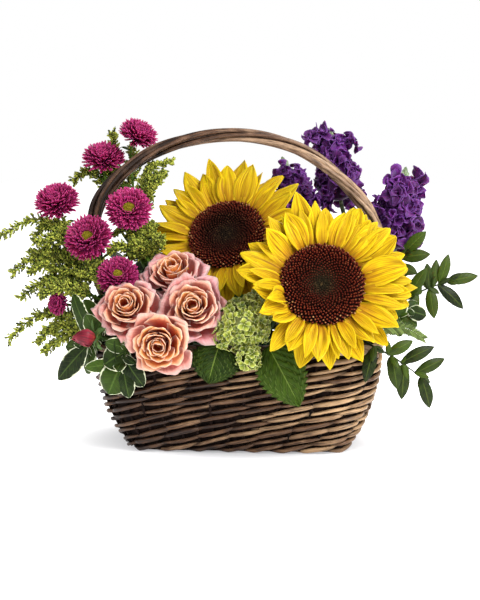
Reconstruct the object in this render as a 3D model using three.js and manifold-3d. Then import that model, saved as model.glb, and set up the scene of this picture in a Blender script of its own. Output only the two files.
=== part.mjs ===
// A willow basket with a fixed arched handle, filled with cut flowers and greenery.
// Millimetres, +Z up. The origin is the centre of the basket's underside, and the front faces -Y.
import * as THREE from "three";
import Module from "manifold-3d";

const wasm = await Module();
wasm.setup();
const { Manifold, Mesh } = wasm;

// ---- Sizes of the basket ----
const BASKET_HEIGHT = 93;
const BASE_HALF_WIDTH = 101;
const BASE_HALF_DEPTH = 68;
const BASE_CORNER = 24;
const FLARE_WIDTH = 31;
const FLARE_DEPTH = 20;
const FLARE_CORNER = 10;
const WALL_THICKNESS = 6;
const WEAVE_ROWS = 9;
const WEAVE_COLUMNS = 45;
const WEAVE_RELIEF = 1.7;
const BORDER_RADIUS = 4.2;
const BORDER_HEIGHT = 97.6;
const HANDLE_RADIUS = 7.4;
const HANDLE_RODS = 5;
const HANDLE_TURNS = 2.2;
const BASE_THICKNESS = 6;

// ---- Sizes of what stands inside ----
const LINER_WALL = 1.6;
const LINER_TOP = 90;
const LINER_TOP_HALF = [104, 78];
const LINER_BOTTOM_HALF = [88, 58];
const LINER_CORNER = 22;
const FOAM_TOP = 85;
const STEM_DEPTH = 46;
const HOLE_SIDES = 6;

// ---- Gaps ----
const SEAT_GAP = 0.3;
const KEEP_APART = 0.4;
const STEMS_APART = 1.7;
const SMALLEST_DETAIL = 0.25;

const v = (x, y, z) => new THREE.Vector3(x, y, z);
const mix = THREE.MathUtils.lerp;

const group = new THREE.Group();
const standing = [];
const holes = [];

// A small seeded random source, so that every build gives the same bouquet.
function seeded(seed) {
  let state = seed * 2654435761 % 4294967296;
  return () => {
    state = (state * 1664525 + 1013904223) % 4294967296;
    return state / 4294967296;
  };
}

// ---- Making closed solids ----
function solidOf(points, faces) {
  const vertProperties = new Float32Array(points.flatMap((p) => [p.x, p.y, p.z]));
  const build = (list) => new Manifold(new Mesh({
    numProp: 3,
    vertProperties,
    triVerts: new Uint32Array(list.flat()),
  }));
  const solid = build(faces);
  if (solid.volume() > 0) {
    return solid;
  }
  return build(faces.map(([a, b, c]) => [a, c, b]));
}

// Joins rings of points into one closed skin. A ring of one point is a tip.
function loft(rings) {
  const points = rings.flat();
  const faces = [];
  let start = 0;
  rings.slice(0, -1).forEach((ring, i) => {
    const next = rings[i + 1];
    const nextStart = start + ring.length;
    const count = Math.max(ring.length, next.length);
    for (let k = 0; k < count; k += 1) {
      const a0 = start + k % ring.length;
      const a1 = start + (k + 1) % ring.length;
      const b0 = nextStart + k % next.length;
      const b1 = nextStart + (k + 1) % next.length;
      if (ring.length > 1) {
        faces.push([a0, a1, b1]);
      }
      if (next.length > 1) {
        faces.push([a0, b1, b0]);
      }
    }
    start = nextStart;
  });
  for (let k = 1; k + 1 < rings[0].length; k += 1) {
    faces.push([0, k + 1, k]);
  }
  for (let k = 1; k + 1 < rings.at(-1).length; k += 1) {
    faces.push([start, start + k, start + k + 1]);
  }
  return solidOf(points, faces);
}

function ringAround(centre, side, other, radius, sides, turn = 0) {
  return Array.from({ length: sides }, (_, k) => {
    const angle = turn + 2 * Math.PI * k / sides;
    return centre.clone()
      .addScaledVector(side, radius * Math.cos(angle))
      .addScaledVector(other, radius * Math.sin(angle));
  });
}

// Rings around the Z axis, given as [height, radius] from the bottom up.
function stack(levels, sides, turn = 0) {
  return levels.map(([z, radius], i) => (radius === 0 ? [v(0, 0, z)]
    : ringAround(v(0, 0, z), v(1, 0, 0), v(0, 1, 0), radius, sides, turn * i)));
}

// A star with a thick middle and sharp pointed rays. rays holds [angle, tip radius, tip height].
function star(rays, notchRadius, notchHeight, low, high) {
  const outline = rays.flatMap(([angle, radius, height], k) => {
    const next = k + 1 < rays.length ? rays[k + 1][0] : rays[0][0] + 2 * Math.PI;
    const between = (angle + next) / 2;
    return [
      v(radius * Math.cos(angle), radius * Math.sin(angle), height),
      v(notchRadius * Math.cos(between), notchRadius * Math.sin(between), notchHeight),
    ];
  });
  return loft([[v(0, 0, low)], outline, [v(0, 0, high)]]);
}

function sideways(along, hint = v(0.31, 0.95, 0.05)) {
  const side = along.clone().cross(hint);
  return side.lengthSq() > 1e-6 ? side.normalize() : v(1, 0, 0);
}

function tangents(path) {
  return path.map((p, i) => {
    const before = path[Math.max(i - 1, 0)];
    const after = path[Math.min(i + 1, path.length - 1)];
    return after.clone().sub(before).normalize();
  });
}

// A round rod along a path. Its frame is carried along, so it never twists.
function rod(path, radiusAt, sides = 4) {
  const along = tangents(path);
  let side = sideways(along[0]);
  const rings = path.map((p, i) => {
    side = side.clone().addScaledVector(along[i], -side.dot(along[i])).normalize();
    const other = along[i].clone().cross(side);
    const t = i / (path.length - 1);
    return ringAround(p, side, other, radiusAt(t), sides);
  });
  return loft(rings);
}

function smoothPath(points, steps) {
  return new THREE.CatmullRomCurve3(points, false, "centripetal").getPoints(steps);
}

// A leaf or petal: thickest along its midrib, sharp at both edges and at the tip.
// profile holds [distance along, half width] as shares of the length and of halfWidth.
const LEAF_PROFILE = [[0, 0.1], [0.36, 0.96], [0.7, 0.8], [1, 0]];
function blade(root, tip, facing, halfWidth, options = {}) {
  const { arch = 0, cup = 0, thick = 1.1, profile = LEAF_PROFILE, wave = 0 } = options;
  const length = tip.clone().sub(root);
  const side = length.clone().cross(facing).normalize();
  const lift = side.clone().cross(length).normalize();
  const size = length.length();
  const rings = profile.map(([t, w], i) => {
    const mid = root.clone().addScaledVector(length, t)
      .addScaledVector(lift, arch * size * 4 * t * (1 - t));
    if (w === 0) {
      return [mid];
    }
    const reach = w * halfWidth;
    const raise = cup * reach;
    const ripple = wave * reach * (i % 2 ? 1 : -1);
    return [
      mid.clone().addScaledVector(side, -reach).addScaledVector(lift, raise + ripple),
      mid.clone().addScaledVector(lift, thick / 2),
      mid.clone().addScaledVector(side, reach).addScaledVector(lift, raise - ripple),
      mid.clone().addScaledVector(lift, -thick / 2),
    ];
  });
  return loft(rings);
}

// ---- Placing ----
function turned(solid, centre, facing, spin = 0) {
  const z = facing.clone().normalize();
  const x = sideways(z, v(0, 0.2, 1)).negate();
  const y = z.clone().cross(x);
  const basis = new THREE.Matrix4().makeBasis(x, y, z);
  basis.multiply(new THREE.Matrix4().makeRotationZ(spin));
  basis.setPosition(centre);
  return solid.transform(basis.elements);
}

function boxesMeet(a, b, gap) {
  return [0, 1, 2].every((k) => a.min[k] < b.max[k] + gap && b.min[k] < a.max[k] + gap);
}

function isClear(solid, gap = KEEP_APART, others = standing) {
  const box = solid.boundingBox();
  return others.every((other) => !boxesMeet(box, other.box, gap)
    || solid.minGap(other.solid, gap * 1.001) >= gap);
}

// The largest body of a union. A scrap that came loose is dropped.
function oneBody(solids) {
  const whole = solids.length > 1 ? Manifold.union(solids) : solids[0];
  const bodies = whole.simplify(SMALLEST_DETAIL).decompose();
  return bodies.reduce((a, b) => (a.volume() > b.volume() ? a : b));
}

// Tries each repeat as it is, then bent or shortened, until it stays clear of its neighbours.
const EASIER = [
  [0, 1], [0.22, 1], [-0.22, 1], [0.45, 0.92], [-0.45, 0.92],
  [0.75, 0.8], [-0.75, 0.8], [0.3, 0.65], [-0.3, 0.65],
];
const SMALLER = [1, 0.97, 0.94, 0.9, 0.86, 0.82, 0.76, 0.7, 0.65];
function grown(core, makers) {
  const kept = [core];
  makers.forEach((make) => {
    for (const [bend, size] of EASIER) {
      const solid = make(bend, size);
      if (isClear(solid)) {
        kept.push(solid);
        break;
      }
    }
  });
  return oneBody(kept);
}

function addNode(name, solid, colour, roughness = 0.7) {
  const mesh = solid.getMesh();
  const geometry = new THREE.BufferGeometry();
  const positions = new Float32Array(mesh.numVert * 3);
  for (let i = 0; i < mesh.numVert; i += 1) {
    positions.set(mesh.vertProperties.subarray(i * mesh.numProp, i * mesh.numProp + 3), i * 3);
  }
  geometry.setAttribute("position", new THREE.BufferAttribute(positions, 3));
  geometry.setIndex(new THREE.BufferAttribute(new Uint32Array(mesh.triVerts), 1));
  geometry.computeVertexNormals();
  const material = new THREE.MeshStandardMaterial({ color: colour, roughness, metalness: 0 });
  const node = new THREE.Mesh(geometry, material);
  node.name = name;
  group.add(node);
  standing.push({ name, solid, box: solid.boundingBox() });
  return solid;
}

// ---- The basket ----
const flare = (z) => 1 - (1 - z / BASKET_HEIGHT) ** 2;

// A point of a rounded rectangle, with share running once around it from the middle of +X.
function onRoundedBox(share, halfWidth, halfDepth, corner, outward = 0) {
  const lengths = [halfDepth - corner, Math.PI * corner / 2, 2 * (halfWidth - corner)];
  const quarter = [lengths[0], lengths[1], lengths[2], lengths[1], 2 * lengths[0],
    lengths[1], lengths[2], lengths[1], lengths[0]];
  let left = (share % 1) * quarter.reduce((a, b) => a + b, 0);
  let piece = 0;
  while (piece < 8 && left > quarter[piece]) {
    left -= quarter[piece];
    piece += 1;
  }
  const normal = v(1, 0, 0);
  const corners = [[1, 1], [-1, 1], [-1, -1], [1, -1]];
  if (piece % 2) {
    const [sx, sy] = corners[(piece - 1) / 2];
    const angle = (piece - 1) / 2 * Math.PI / 2 + left / corner;
    normal.set(Math.cos(angle), Math.sin(angle), 0);
    return v(sx * (halfWidth - corner), sy * (halfDepth - corner), 0)
      .addScaledVector(normal, corner + outward);
  }
  const ends = [
    v(halfWidth, left, 0), null, v(halfWidth - corner - left, halfDepth, 0), null,
    v(-halfWidth, halfDepth - corner - left, 0), null,
    v(-halfWidth + corner + left, -halfDepth, 0), null,
    v(halfWidth, -halfDepth + corner + left, 0),
  ];
  normal.set([1, 0, 0, 0, -1, 0, 0, 0, 1][piece], [0, 0, 1, 0, 0, 0, -1, 0, 0][piece], 0);
  return ends[piece].addScaledVector(normal, outward);
}

function onWall(share, z, outward) {
  const f = flare(z);
  const point = onRoundedBox(
    share,
    BASE_HALF_WIDTH + FLARE_WIDTH * f,
    BASE_HALF_DEPTH + FLARE_DEPTH * f,
    BASE_CORNER + FLARE_CORNER * f,
    outward,
  );
  point.z = z;
  return point;
}

// Each rod shows for two columns and is tucked behind a stake for one, a column on in each row.
function weaveRing(level) {
  const row = Math.floor(level / 2);
  const isCrest = level % 2 === 1;
  const z = BASKET_HEIGHT * level / (2 * WEAVE_ROWS);
  return Array.from({ length: WEAVE_COLUMNS }, (_, k) => {
    const phase = (k + row) % 3;
    const outward = isCrest ? [-0.4, 1, 1][phase] * WEAVE_RELIEF : -WEAVE_RELIEF;
    const slant = isCrest ? [0, -0.9, 0.9][phase] : 0;
    return onWall(k / WEAVE_COLUMNS, z + slant, outward);
  });
}

function makeWall() {
  const rings = [];
  for (let level = 0; level <= 2 * WEAVE_ROWS; level += 1) {
    rings.push(weaveRing(level));
  }
  const inner = [1, 0.5, 0.2, 0].map((t) => Array.from(
    { length: WEAVE_COLUMNS },
    (_, k) => onWall(k / WEAVE_COLUMNS, t * BASKET_HEIGHT, -WALL_THICKNESS),
  ));
  return closedRings([...rings, ...inner]);
}

// Joins rings into a closed ring-shaped solid, with the last ring joined to the first.
function closedRings(rings) {
  const count = rings[0].length;
  const faces = [];
  rings.forEach((_, i) => {
    const next = (i + 1) % rings.length;
    for (let k = 0; k < count; k += 1) {
      const a = i * count + k;
      const b = i * count + (k + 1) % count;
      const c = next * count + (k + 1) % count;
      const d = next * count + k;
      faces.push([a, b, c], [a, c, d]);
    }
  });
  return solidOf(rings.flat(), faces);
}

// The border: rods laid around the rim and twisted over one another.
function makeBorder() {
  const lobes = 5;
  const columns = 45;
  const rings = Array.from({ length: lobes }, (_, j) => Array.from({ length: columns }, (_, k) => {
    const angle = 2 * Math.PI * (j / lobes + (k % 3) / 18);
    const radius = BORDER_RADIUS * ((j + k) % 3 === 0 ? 0.8 : 1);
    const outward = -WALL_THICKNESS / 2 + 0.6 + radius * Math.cos(angle);
    const point = onWall(k / columns, BASKET_HEIGHT, outward);
    point.z = BORDER_HEIGHT + radius * 0.98 * Math.sin(angle);
    return point;
  }));
  return closedRings(rings);
}

function slab(zs, halves, corner, count = 28) {
  return loft(zs.map((z, i) => Array.from({ length: count }, (_, k) => {
    const [halfWidth, halfDepth] = halves[i];
    const point = onRoundedBox(k / count, halfWidth, halfDepth, corner);
    point.z = z;
    return point;
  })));
}

function makeBase() {
  const inset = WALL_THICKNESS + 4 * SEAT_GAP;
  const halfWidth = BASE_HALF_WIDTH - inset;
  const halfDepth = BASE_HALF_DEPTH - inset;
  const size = [halfWidth, halfDepth];
  return slab([0, BASE_THICKNESS], [size, size], BASE_CORNER - inset);
}

// The line of the handle, from inside the left wall over the top to inside the right wall.
const HANDLE_LINE = [
  [-108.3, 44], [-115.6, 84], [-116.4, 104], [-127, 132], [-138.5, 168], [-138.4, 217],
  [-122.4, 243.3], [-91.6, 268.1], [-57.7, 282.1], [-21.3, 288.7], [18, 286.8], [53.9, 276],
  [84, 256.5], [109, 232.2], [123.4, 209.6], [134.5, 168], [127, 132], [116.4, 104],
  [115.6, 84], [108.3, 44],
];

function makeHandle() {
  const line = HANDLE_LINE.map(([x, z]) => v(x, 0, z));
  const path = smoothPath(line, 34);
  const along = tangents(path);
  const sides = HANDLE_RODS * 2;
  const rings = path.map((p, i) => {
    const side = v(0, 1, 0);
    const other = along[i].clone().cross(side);
    const t = i / (path.length - 1);
    const turn = 2 * Math.PI * HANDLE_TURNS * t;
    const slim = mix(0.92, 1.04, Math.abs(2 * t - 1));
    return Array.from({ length: sides }, (_, k) => {
      const angle = turn + 2 * Math.PI * k / sides;
      const radius = HANDLE_RADIUS * slim * (k % 2 ? 0.74 : 1);
      return p.clone()
        .addScaledVector(side, radius * Math.cos(angle))
        .addScaledVector(other, radius * Math.sin(angle));
    });
  });
  return loft(rings);
}

function makeLiner() {
  const floor = BASE_THICKNESS + SEAT_GAP;
  const outer = slab([floor, LINER_TOP], [LINER_BOTTOM_HALF, LINER_TOP_HALF], LINER_CORNER);
  const thinner = ([a, b]) => [a - LINER_WALL, b - LINER_WALL];
  const inner = slab(
    [floor + LINER_WALL, LINER_TOP + 1],
    [thinner(LINER_BOTTOM_HALF), thinner(LINER_TOP_HALF)],
    LINER_CORNER - LINER_WALL,
  );
  return outer.subtract(inner);
}

function makeFoam() {
  const bottom = BASE_THICKNESS + 2 * SEAT_GAP + LINER_WALL;
  const rise = (FOAM_TOP - bottom) / (LINER_TOP - bottom);
  const gap = LINER_WALL + 3 * SEAT_GAP;
  const low = LINER_BOTTOM_HALF.map((half) => half - gap);
  const high = LINER_BOTTOM_HALF.map((half, k) => mix(half, LINER_TOP_HALF[k], rise) - gap);
  const block = slab([bottom, FOAM_TOP], [low, high], LINER_CORNER - gap);
  return block.subtract(Manifold.union(holes));
}

// ---- Stems ----
// A stem runs from the back of a head, through a bend, straight down into the foam.
function stemPath(from, leaving, spot, reach, sway) {
  const entry = v(spot[0], spot[1], FOAM_TOP + 2);
  const bend = from.clone().addScaledVector(leaving, reach);
  const above = entry.clone().add(v(0, 0, Math.min(22, Math.max(5, (bend.z - FOAM_TOP) * 0.5))));
  const middle = bend.clone().lerp(above, 0.5).add(sway);
  const bent = smoothPath([from, bend, middle, above, entry], 6).slice(0, -1);
  return [...bent, entry, v(spot[0], spot[1], FOAM_TOP - STEM_DEPTH)];
}

const SWAYS = [
  [0, 0, 0], [0, 10, 0], [0, -10, 0], [10, 0, 0], [-10, 0, 0], [0, 20, 8], [0, -20, 8],
  [18, 12, 0], [-18, 12, 0], [18, -12, 0], [-18, -12, 0], [0, 32, 12], [0, -32, 12],
  [30, 0, 6], [-30, 0, 6],
];

function nearbySpots([x, y]) {
  const spots = [];
  for (const ring of [0, 7, 13, 20, 27, 34]) {
    for (let k = 0; k < (ring ? 8 : 1); k += 1) {
      const angle = k * Math.PI / 4 + ring;
      const spot = [x + ring * Math.cos(angle), y + ring * Math.sin(angle)];
      if (Math.abs(spot[0]) < 86 && Math.abs(spot[1]) < 62) {
        spots.push(spot);
      }
    }
  }
  return spots;
}

// Looks for a way down that stays clear of everything that already stands there.
function findStem(from, leaving, spot, radius, note) {
  for (const place of nearbySpots(spot)) {
    for (const reach of [14, 7, 24]) {
      for (const sway of SWAYS) {
        const path = stemPath(from, leaving, place, reach, v(...sway));
        const solid = rod(path, () => radius);
        if (isClear(solid, STEMS_APART)) {
          const shaft = [v(...place, FOAM_TOP - STEM_DEPTH - 2), v(...place, FOAM_TOP + 3)];
          const wide = (radius + SEAT_GAP) / Math.cos(Math.PI / HOLE_SIDES) + 0.05;
          holes.push(rod(shaft, () => wide, HOLE_SIDES));
          return solid;
        }
      }
    }
  }
  throw new Error("no clear way down for " + note);
}

function findBranch(from, leaving, to, radius, note) {
  for (const reach of [10, 5, 18]) {
    for (const sway of SWAYS) {
      const bend = from.clone().addScaledVector(leaving, reach);
      const middle = bend.clone().lerp(to, 0.55).add(v(...sway).multiplyScalar(0.7));
      const solid = rod(smoothPath([from, bend, middle, to], 5), () => radius, 4);
      if (isClear(solid, KEEP_APART)) {
        return solid;
      }
    }
  }
  throw new Error("no clear branch to " + note);
}

// ---- Sunflowers ----
const SUNFLOWERS = [
  { name: "sunflower_front", at: [78, -91, 156], facing: [0.12, -0.88, 0.45], disc: 37.5, tip: 81,
    spot: [52, -34], seed: 3 },
  { name: "sunflower_back", at: [-10.5, -24, 194], facing: [-0.15, -0.78, 0.6], disc: 35.5,
    tip: 78, spot: [-6, 2], seed: 8 },
];
const SUNFLOWER_PETALS = 17;
const SUNFLOWER_PLATE = 3.4;

function sunflowerPetal(flower, layer, chance, [bend, size], angle) {
  const rise = [-0.06, 0.12][layer] + (chance[1] - 0.5) * 0.24 + bend;
  const length = (flower.tip - flower.disc) * size * mix(0.86, 1.04, chance[2]) * [1, 0.92][layer];
  return { angle, rise, length };
}

// The outline and the two ridge points of one petal, from its left foot to its right foot.
function petalPoints(flower, layer, { angle, rise, length }) {
  const z = [1.2, 2.4][layer];
  const foot = flower.disc - 3;
  const at = (turn, distance, lift) => {
    const radius = foot + distance * Math.cos(rise);
    return v(
      radius * Math.cos(angle + turn),
      radius * Math.sin(angle + turn),
      z + distance * Math.sin(rise) + lift,
    );
  };
  const reach = length + 3;
  const spread = 7.9 / (foot + 0.5 * reach);
  return {
    left: at(-spread, 0.48 * reach, 1.1),
    tip: at(0, reach, 0.6),
    right: at(spread, 0.48 * reach, 1.1),
    top: at(0, 0.42 * reach, 0.7),
    bottom: at(0, 0.42 * reach, -0.9),
  };
}

// One layer of petals: a flat hub with every petal growing out of its rim.
function petalWheel(flower, layer, petals) {
  const z = [1.2, 2.4][layer];
  const foot = flower.disc - 3;
  const points = [v(0, 0, z + 0.9), v(0, 0, z - 1.1)];
  const faces = [];
  const step = 2 * Math.PI / petals.length;
  const each = 7;
  petals.forEach((petal, k) => {
    const start = 2 + k * each;
    const next = 2 + ((k + 1) % petals.length) * each;
    const turn = step * (k - 0.5) + layer * step / 2;
    const { left, tip, right, top, bottom } = petalPoints(flower, layer, petal);
    points.push(v(foot * Math.cos(turn), foot * Math.sin(turn), z + 0.4));
    points.push(v(foot * Math.cos(turn), foot * Math.sin(turn), z - 0.5));
    points.push(left, tip, right, top, bottom);
    const upper = [start, start + 2, start + 3, start + 4, next];
    const lower = [start + 1, start + 2, start + 3, start + 4, next + 1];
    for (let i = 0; i < 5; i += 1) {
      const j = (i + 1) % 5;
      faces.push([upper[i], upper[j], start + 5], [lower[j], lower[i], start + 6]);
    }
    faces.push([start + 2, start, start + 1], [next, start + 4, next + 1]);
    faces.push([0, start, next], [1, next + 1, start + 1]);
  });
  return turned(solidOf(points, faces), v(...flower.at), v(...flower.facing));
}

function addSunflowerPetals(flower) {
  const random = seeded(flower.seed);
  const step = 2 * Math.PI / SUNFLOWER_PETALS;
  const plate = loft(stack([[0, flower.disc - 1], [SUNFLOWER_PLATE, flower.disc - 1]], 18));
  const wheels = [0, 1].map((layer) => {
    const petals = Array.from({ length: SUNFLOWER_PETALS }, (_, k) => {
      const chance = [random(), random(), random()];
      const angle = step * (k + layer / 2 + (chance[0] - 0.5) * 0.14);
      const choices = EASIER.map((easier) => sunflowerPetal(flower, layer, chance, easier, angle));
      return choices.find((petal) => isClear(testPetal(flower, layer, petal))) ?? choices.at(-1);
    });
    return petalWheel(flower, layer, petals);
  });
  const whole = oneBody([turned(plate, v(...flower.at), v(...flower.facing)), ...wheels]);
  addNode(flower.name + "_petals", whole, 0xf5c518, 0.6);
}

function testPetal(flower, layer, petal) {
  const { left, tip, right, top, bottom } = petalPoints(flower, layer, petal);
  const solid = loft([[bottom], [left, tip, right], [top]]);
  return turned(solid, v(...flower.at), v(...flower.facing));
}

// The seed disc: a low dome with a sunk middle, its florets as rings of small raised points.
function addSunflowerDisc(flower) {
  const count = 26;
  const base = SUNFLOWER_PLATE + SEAT_GAP;
  const rings = [[0.93, 0], [1, 2.6], [0.9, 5.4], [0.74, 6.4], [0.57, 7], [0.4, 5.6], [0.22, 4.6]];
  const layers = rings.map(([share, height], i) => Array.from({ length: count }, (_, k) => {
    const angle = 2 * Math.PI * (k + (i % 2) / 2) / count;
    const bump = i > 1 && (k + i) % 2 ? 1.5 : 0;
    const radius = flower.disc * share;
    return v(radius * Math.cos(angle), radius * Math.sin(angle), base + height + bump);
  }));
  const solid = loft([...layers, [v(0, 0, base + 4)]]);
  addNode(flower.name + "_disc", turned(solid, v(...flower.at), v(...flower.facing)), 0x3b1713, 0.9);
}

// The green back of the head: a cup with two alternating rounds of pointed bracts.
function addSunflowerStem(flower) {
  const at = v(...flower.at);
  const facing = v(...flower.facing).normalize();
  const count = 24;
  const bracts = Array.from({ length: count }, (_, k) => {
    const angle = 2 * Math.PI * k / count;
    const radius = k % 2 ? 29 : flower.disc + (k % 4 ? 12 : 17);
    return v(radius * Math.cos(angle), radius * Math.sin(angle), k % 2 ? -4 : -12);
  });
  const below = stack([[-17, 4.6], [-12, 15], [-7, 28]], count);
  const above = stack([[-0.35, 31]], count);
  const cup = turned(loft([...below, bracts, ...above]), at, facing);
  const back = at.clone().addScaledVector(facing, -15);
  const stem = findStem(back, facing.clone().negate(), flower.spot, 4.2, flower.name);
  addNode(flower.name + "_stem", oneBody([cup, stem]), 0x5b7a34, 0.75);
}

// ---- Roses ----
const ROSES = [
  { name: "rose_right", at: [-36, -99, 137.5], facing: [0.06, -0.93, 0.36], radius: 31, seed: 12 },
  { name: "rose_bottom", at: [-64, -122, 107], facing: [0, -1, -0.12], radius: 29, seed: 14 },
  { name: "rose_left", at: [-97, -91, 137.5], facing: [-0.05, -0.88, 0.46], radius: 28, seed: 13 },
  { name: "rose_top", at: [-58, -62, 167], facing: [-0.08, -0.68, 0.73], radius: 29.5, seed: 11 },
];
const ROSE_DEPTH = 0.5;

// A rose's petals stand in rounds, one inside the other: ridges and furrows of one skin.
// The outermost round is cut into five broad petals that open wide and roll over.
function rosePetals(rose) {
  const sides = 15;
  const { radius } = rose;
  const ring = (reach, z, lobes, turn, depth) => Array.from({ length: sides }, (_, k) => {
    const angle = 2 * Math.PI * k / sides;
    const lobe = Math.cos(lobes * angle + turn + rose.seed);
    const size = reach * radius * (1 + depth * lobe);
    return v(size * Math.cos(angle), size * Math.sin(angle), radius * z * (1 + depth * lobe));
  });
  return loft([
    ring(0.28, 0, 5, 0, 0), ring(0.78, 0.16, 5, 0, 0.1), ring(0.96, 0.4, 5, 0, 0.1),
    ring(0.8, 0.36, 5, 1, 0.05), ring(0.74, 0.68, 5, 2.6, 0.08),
    ring(0.62, 0.48, 3, 1, 0.05), ring(0.55, 0.84, 3, 1.9, 0.07),
    ring(0.43, 0.58, 3, 3, 0.05), ring(0.36, 0.92, 3, 3.8, 0.07),
    ring(0.26, 0.66, 3, 5, 0.05), ring(0.17, 0.96, 3, 5.7, 0.05), [v(0, 0, radius * 0.72)],
  ]);
}

function roseFrame(rose) {
  const facing = v(...rose.facing).normalize();
  const base = v(...rose.at).addScaledVector(facing, -ROSE_DEPTH * rose.radius);
  return { facing, base };
}

function addRosePetals(rose) {
  const { facing, base } = roseFrame(rose);
  const sizes = SMALLER.map((size) => rosePetals({ ...rose, radius: rose.radius * size }));
  const placed = sizes.map((solid) => turned(solid, base, facing));
  addNode(rose.name + "_petals", placed.find((solid) => isClear(solid)), 0xeaa287, 0.6);
}

const BUD = { name: "rosebud", at: [-127, -85, 108.5], facing: [-0.85, -0.45, 0.22], length: 21 };

// A closed bud: three petals wrapped around one another, seen as a twisted three-sided skin.
function addBudPetals() {
  const facing = v(...BUD.facing).normalize();
  const outline = [[0, 3.6, 0.05], [4, 7, 0.08], [9, 8.6, 0.1], [14, 7, 0.14], [18, 3.6, 0.2]];
  const rings = outline.map(([z, radius, lobe], i) => Array.from({ length: 9 }, (_, k) => {
    const angle = 2 * Math.PI * k / 9 + i * 0.22;
    const size = radius * (1 + lobe * Math.cos(3 * (angle - i * 0.22)));
    return v(size * Math.cos(angle), size * Math.sin(angle), z);
  }));
  const bud = loft([...rings, [v(0.6, 0, BUD.length)]]);
  addNode(BUD.name + "_petals", turned(bud, v(...BUD.at), facing), 0xb8354f, 0.6);
}

// The green cup that holds a rose, drawn out into five sepals as long as there is room for.
function calyx(base, facing, radius) {
  const cups = [8, 6, 4, 2].map((sepal) => {
    const rays = Array.from({ length: 5 }, (_, k) => (
      [2 * Math.PI * k / 5 + 0.4, radius + sepal, -sepal]
    ));
    return turned(star(rays, radius * 0.8, -1.6, -10, -0.4), base, facing);
  });
  return cups.find((cup) => isClear(cup, SEAT_GAP)) ?? cups.at(-1);
}

const ROSE_STEMS = [
  { name: "rose_stem_right", heads: ["rose_right", "rose_top"], fork: [-42, -60, 112],
    spot: [-38, -40] },
  { name: "rose_stem_left", heads: ["rose_bottom", "rose_left", "rosebud"], fork: [-86, -62, 112],
    spot: [-72, -44] },
];

function addRoseStem(stem) {
  const fork = v(...stem.fork);
  const parts = [];
  stem.heads.forEach((name) => {
    const rose = ROSES.find((one) => one.name === name);
    const frame = rose ? roseFrame(rose)
      : { base: v(...BUD.at), facing: v(...BUD.facing).normalize() };
    const cup = calyx(frame.base, frame.facing, rose ? 7.4 : 5);
    const from = frame.base.clone().addScaledVector(frame.facing, -6.5);
    const leaving = frame.facing.clone().negate();
    parts.push(cup, findBranch(from, leaving, fork, 2, name));
  });
  const joint = loft([-3, 0, 3].map((z, i) => ringAround(
    fork.clone().add(v(0, 0, z)), v(1, 0, 0), v(0, 1, 0), [1.6, 3, 1.6][i], 6,
  )));
  parts.push(joint, findStem(fork, v(0, 0.1, -1), stem.spot, 2.4, stem.name));
  addNode(stem.name, oneBody(parts), 0x4e6b2e, 0.7);
}

// ---- Asters ----
const ASTERS = [
  { name: "aster_front_upper", at: [-102.5, -31.5, 219], facing: [0.15, -0.85, 0.5], radius: 21,
    seed: 21, centre: true },
  { name: "aster_front_middle", at: [-137, -47, 193], facing: [-0.1, -0.8, 0.55], radius: 21.5,
    seed: 22, centre: true },
  { name: "aster_front_lower", at: [-109.5, -55, 158.5], facing: [0.1, -0.75, 0.65], radius: 19,
    seed: 23, centre: true },
  { name: "aster_left", at: [-172, -14, 224], facing: [-0.1, -0.62, 0.78], radius: 20.5, seed: 24 },
  { name: "aster_low_left", at: [-163, -50, 134], facing: [-0.6, -0.75, 0.2], radius: 11.5,
    seed: 25 },
  { name: "aster_back_top", at: [-104, 41, 286], facing: [0.45, -0.45, 0.77], radius: 18.5,
    seed: 26 },
  { name: "aster_back", at: [-136.5, 40, 263], facing: [0.05, -0.5, 0.86], radius: 20, seed: 27 },
];
// Of each round: its rise, its reach, and the reach and height of the furrow inside it.
const ASTER_ROUNDS = [[0.1, 1, 0.56, 0.18], [0.62, 0.86, 0.34, 0.26], [1.05, 0.6, 0.12, 0.3]];
const ASTER_RAYS = 12;

// Rounds of narrow ray petals as one skin, each round rising more steeply than the one below.
function asterRays(aster, size) {
  const random = seeded(aster.seed);
  const rounds = ASTER_ROUNDS.slice(0, aster.centre || aster.radius < 15 ? 2 : 3);
  const radius = aster.radius * size;
  const rings = [[v(0, 0, 0)]];
  rounds.forEach(([rise, share, valley, floor], round) => {
    const tips = Array.from({ length: 2 * ASTER_RAYS }, (_, k) => {
      const isTip = (k + round) % 2 === 0;
      const angle = Math.PI * (k + (isTip ? (random() - 0.5) * 0.5 : 0)) / ASTER_RAYS;
      const tilt = rise + (random() - 0.5) * 0.2;
      const length = radius * share * (isTip ? mix(0.9, 1, random()) : 0.6);
      const reach = length * Math.cos(tilt);
      return v(reach * Math.cos(angle), reach * Math.sin(angle), 1.4 + length * Math.sin(tilt));
    });
    const inner = ringAround(
      v(0, 0, floor * radius), v(1, 0, 0), v(0, 1, 0), radius * valley, 2 * ASTER_RAYS,
    );
    rings.push(tips, inner);
  });
  return loft(rings);
}

function addAsterPetals(aster) {
  const place = (solid) => turned(solid, v(...aster.at), v(...aster.facing));
  const sizes = SMALLER.map((size) => place(asterRays(aster, size)));
  addNode(aster.name + "_petals", sizes.find((solid) => isClear(solid)), 0xb81f72, 0.65);
}

function addAsterCentre(aster) {
  const radius = aster.radius * 0.3;
  const dome = loft([...stack([[0, radius], [1.4, radius * 0.95], [2.6, radius * 0.55]], 8, 0.39),
    [v(0, 0, 3)]]);
  const facing = v(...aster.facing).normalize();
  for (let height = 4; height < 10; height += 0.1) {
    const seated = turned(dome, v(...aster.at).addScaledVector(facing, height), facing);
    if (isClear(seated, SEAT_GAP)) {
      addNode(aster.name + "_centre", seated, 0x94851a, 0.9);
      return;
    }
  }
}

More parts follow.
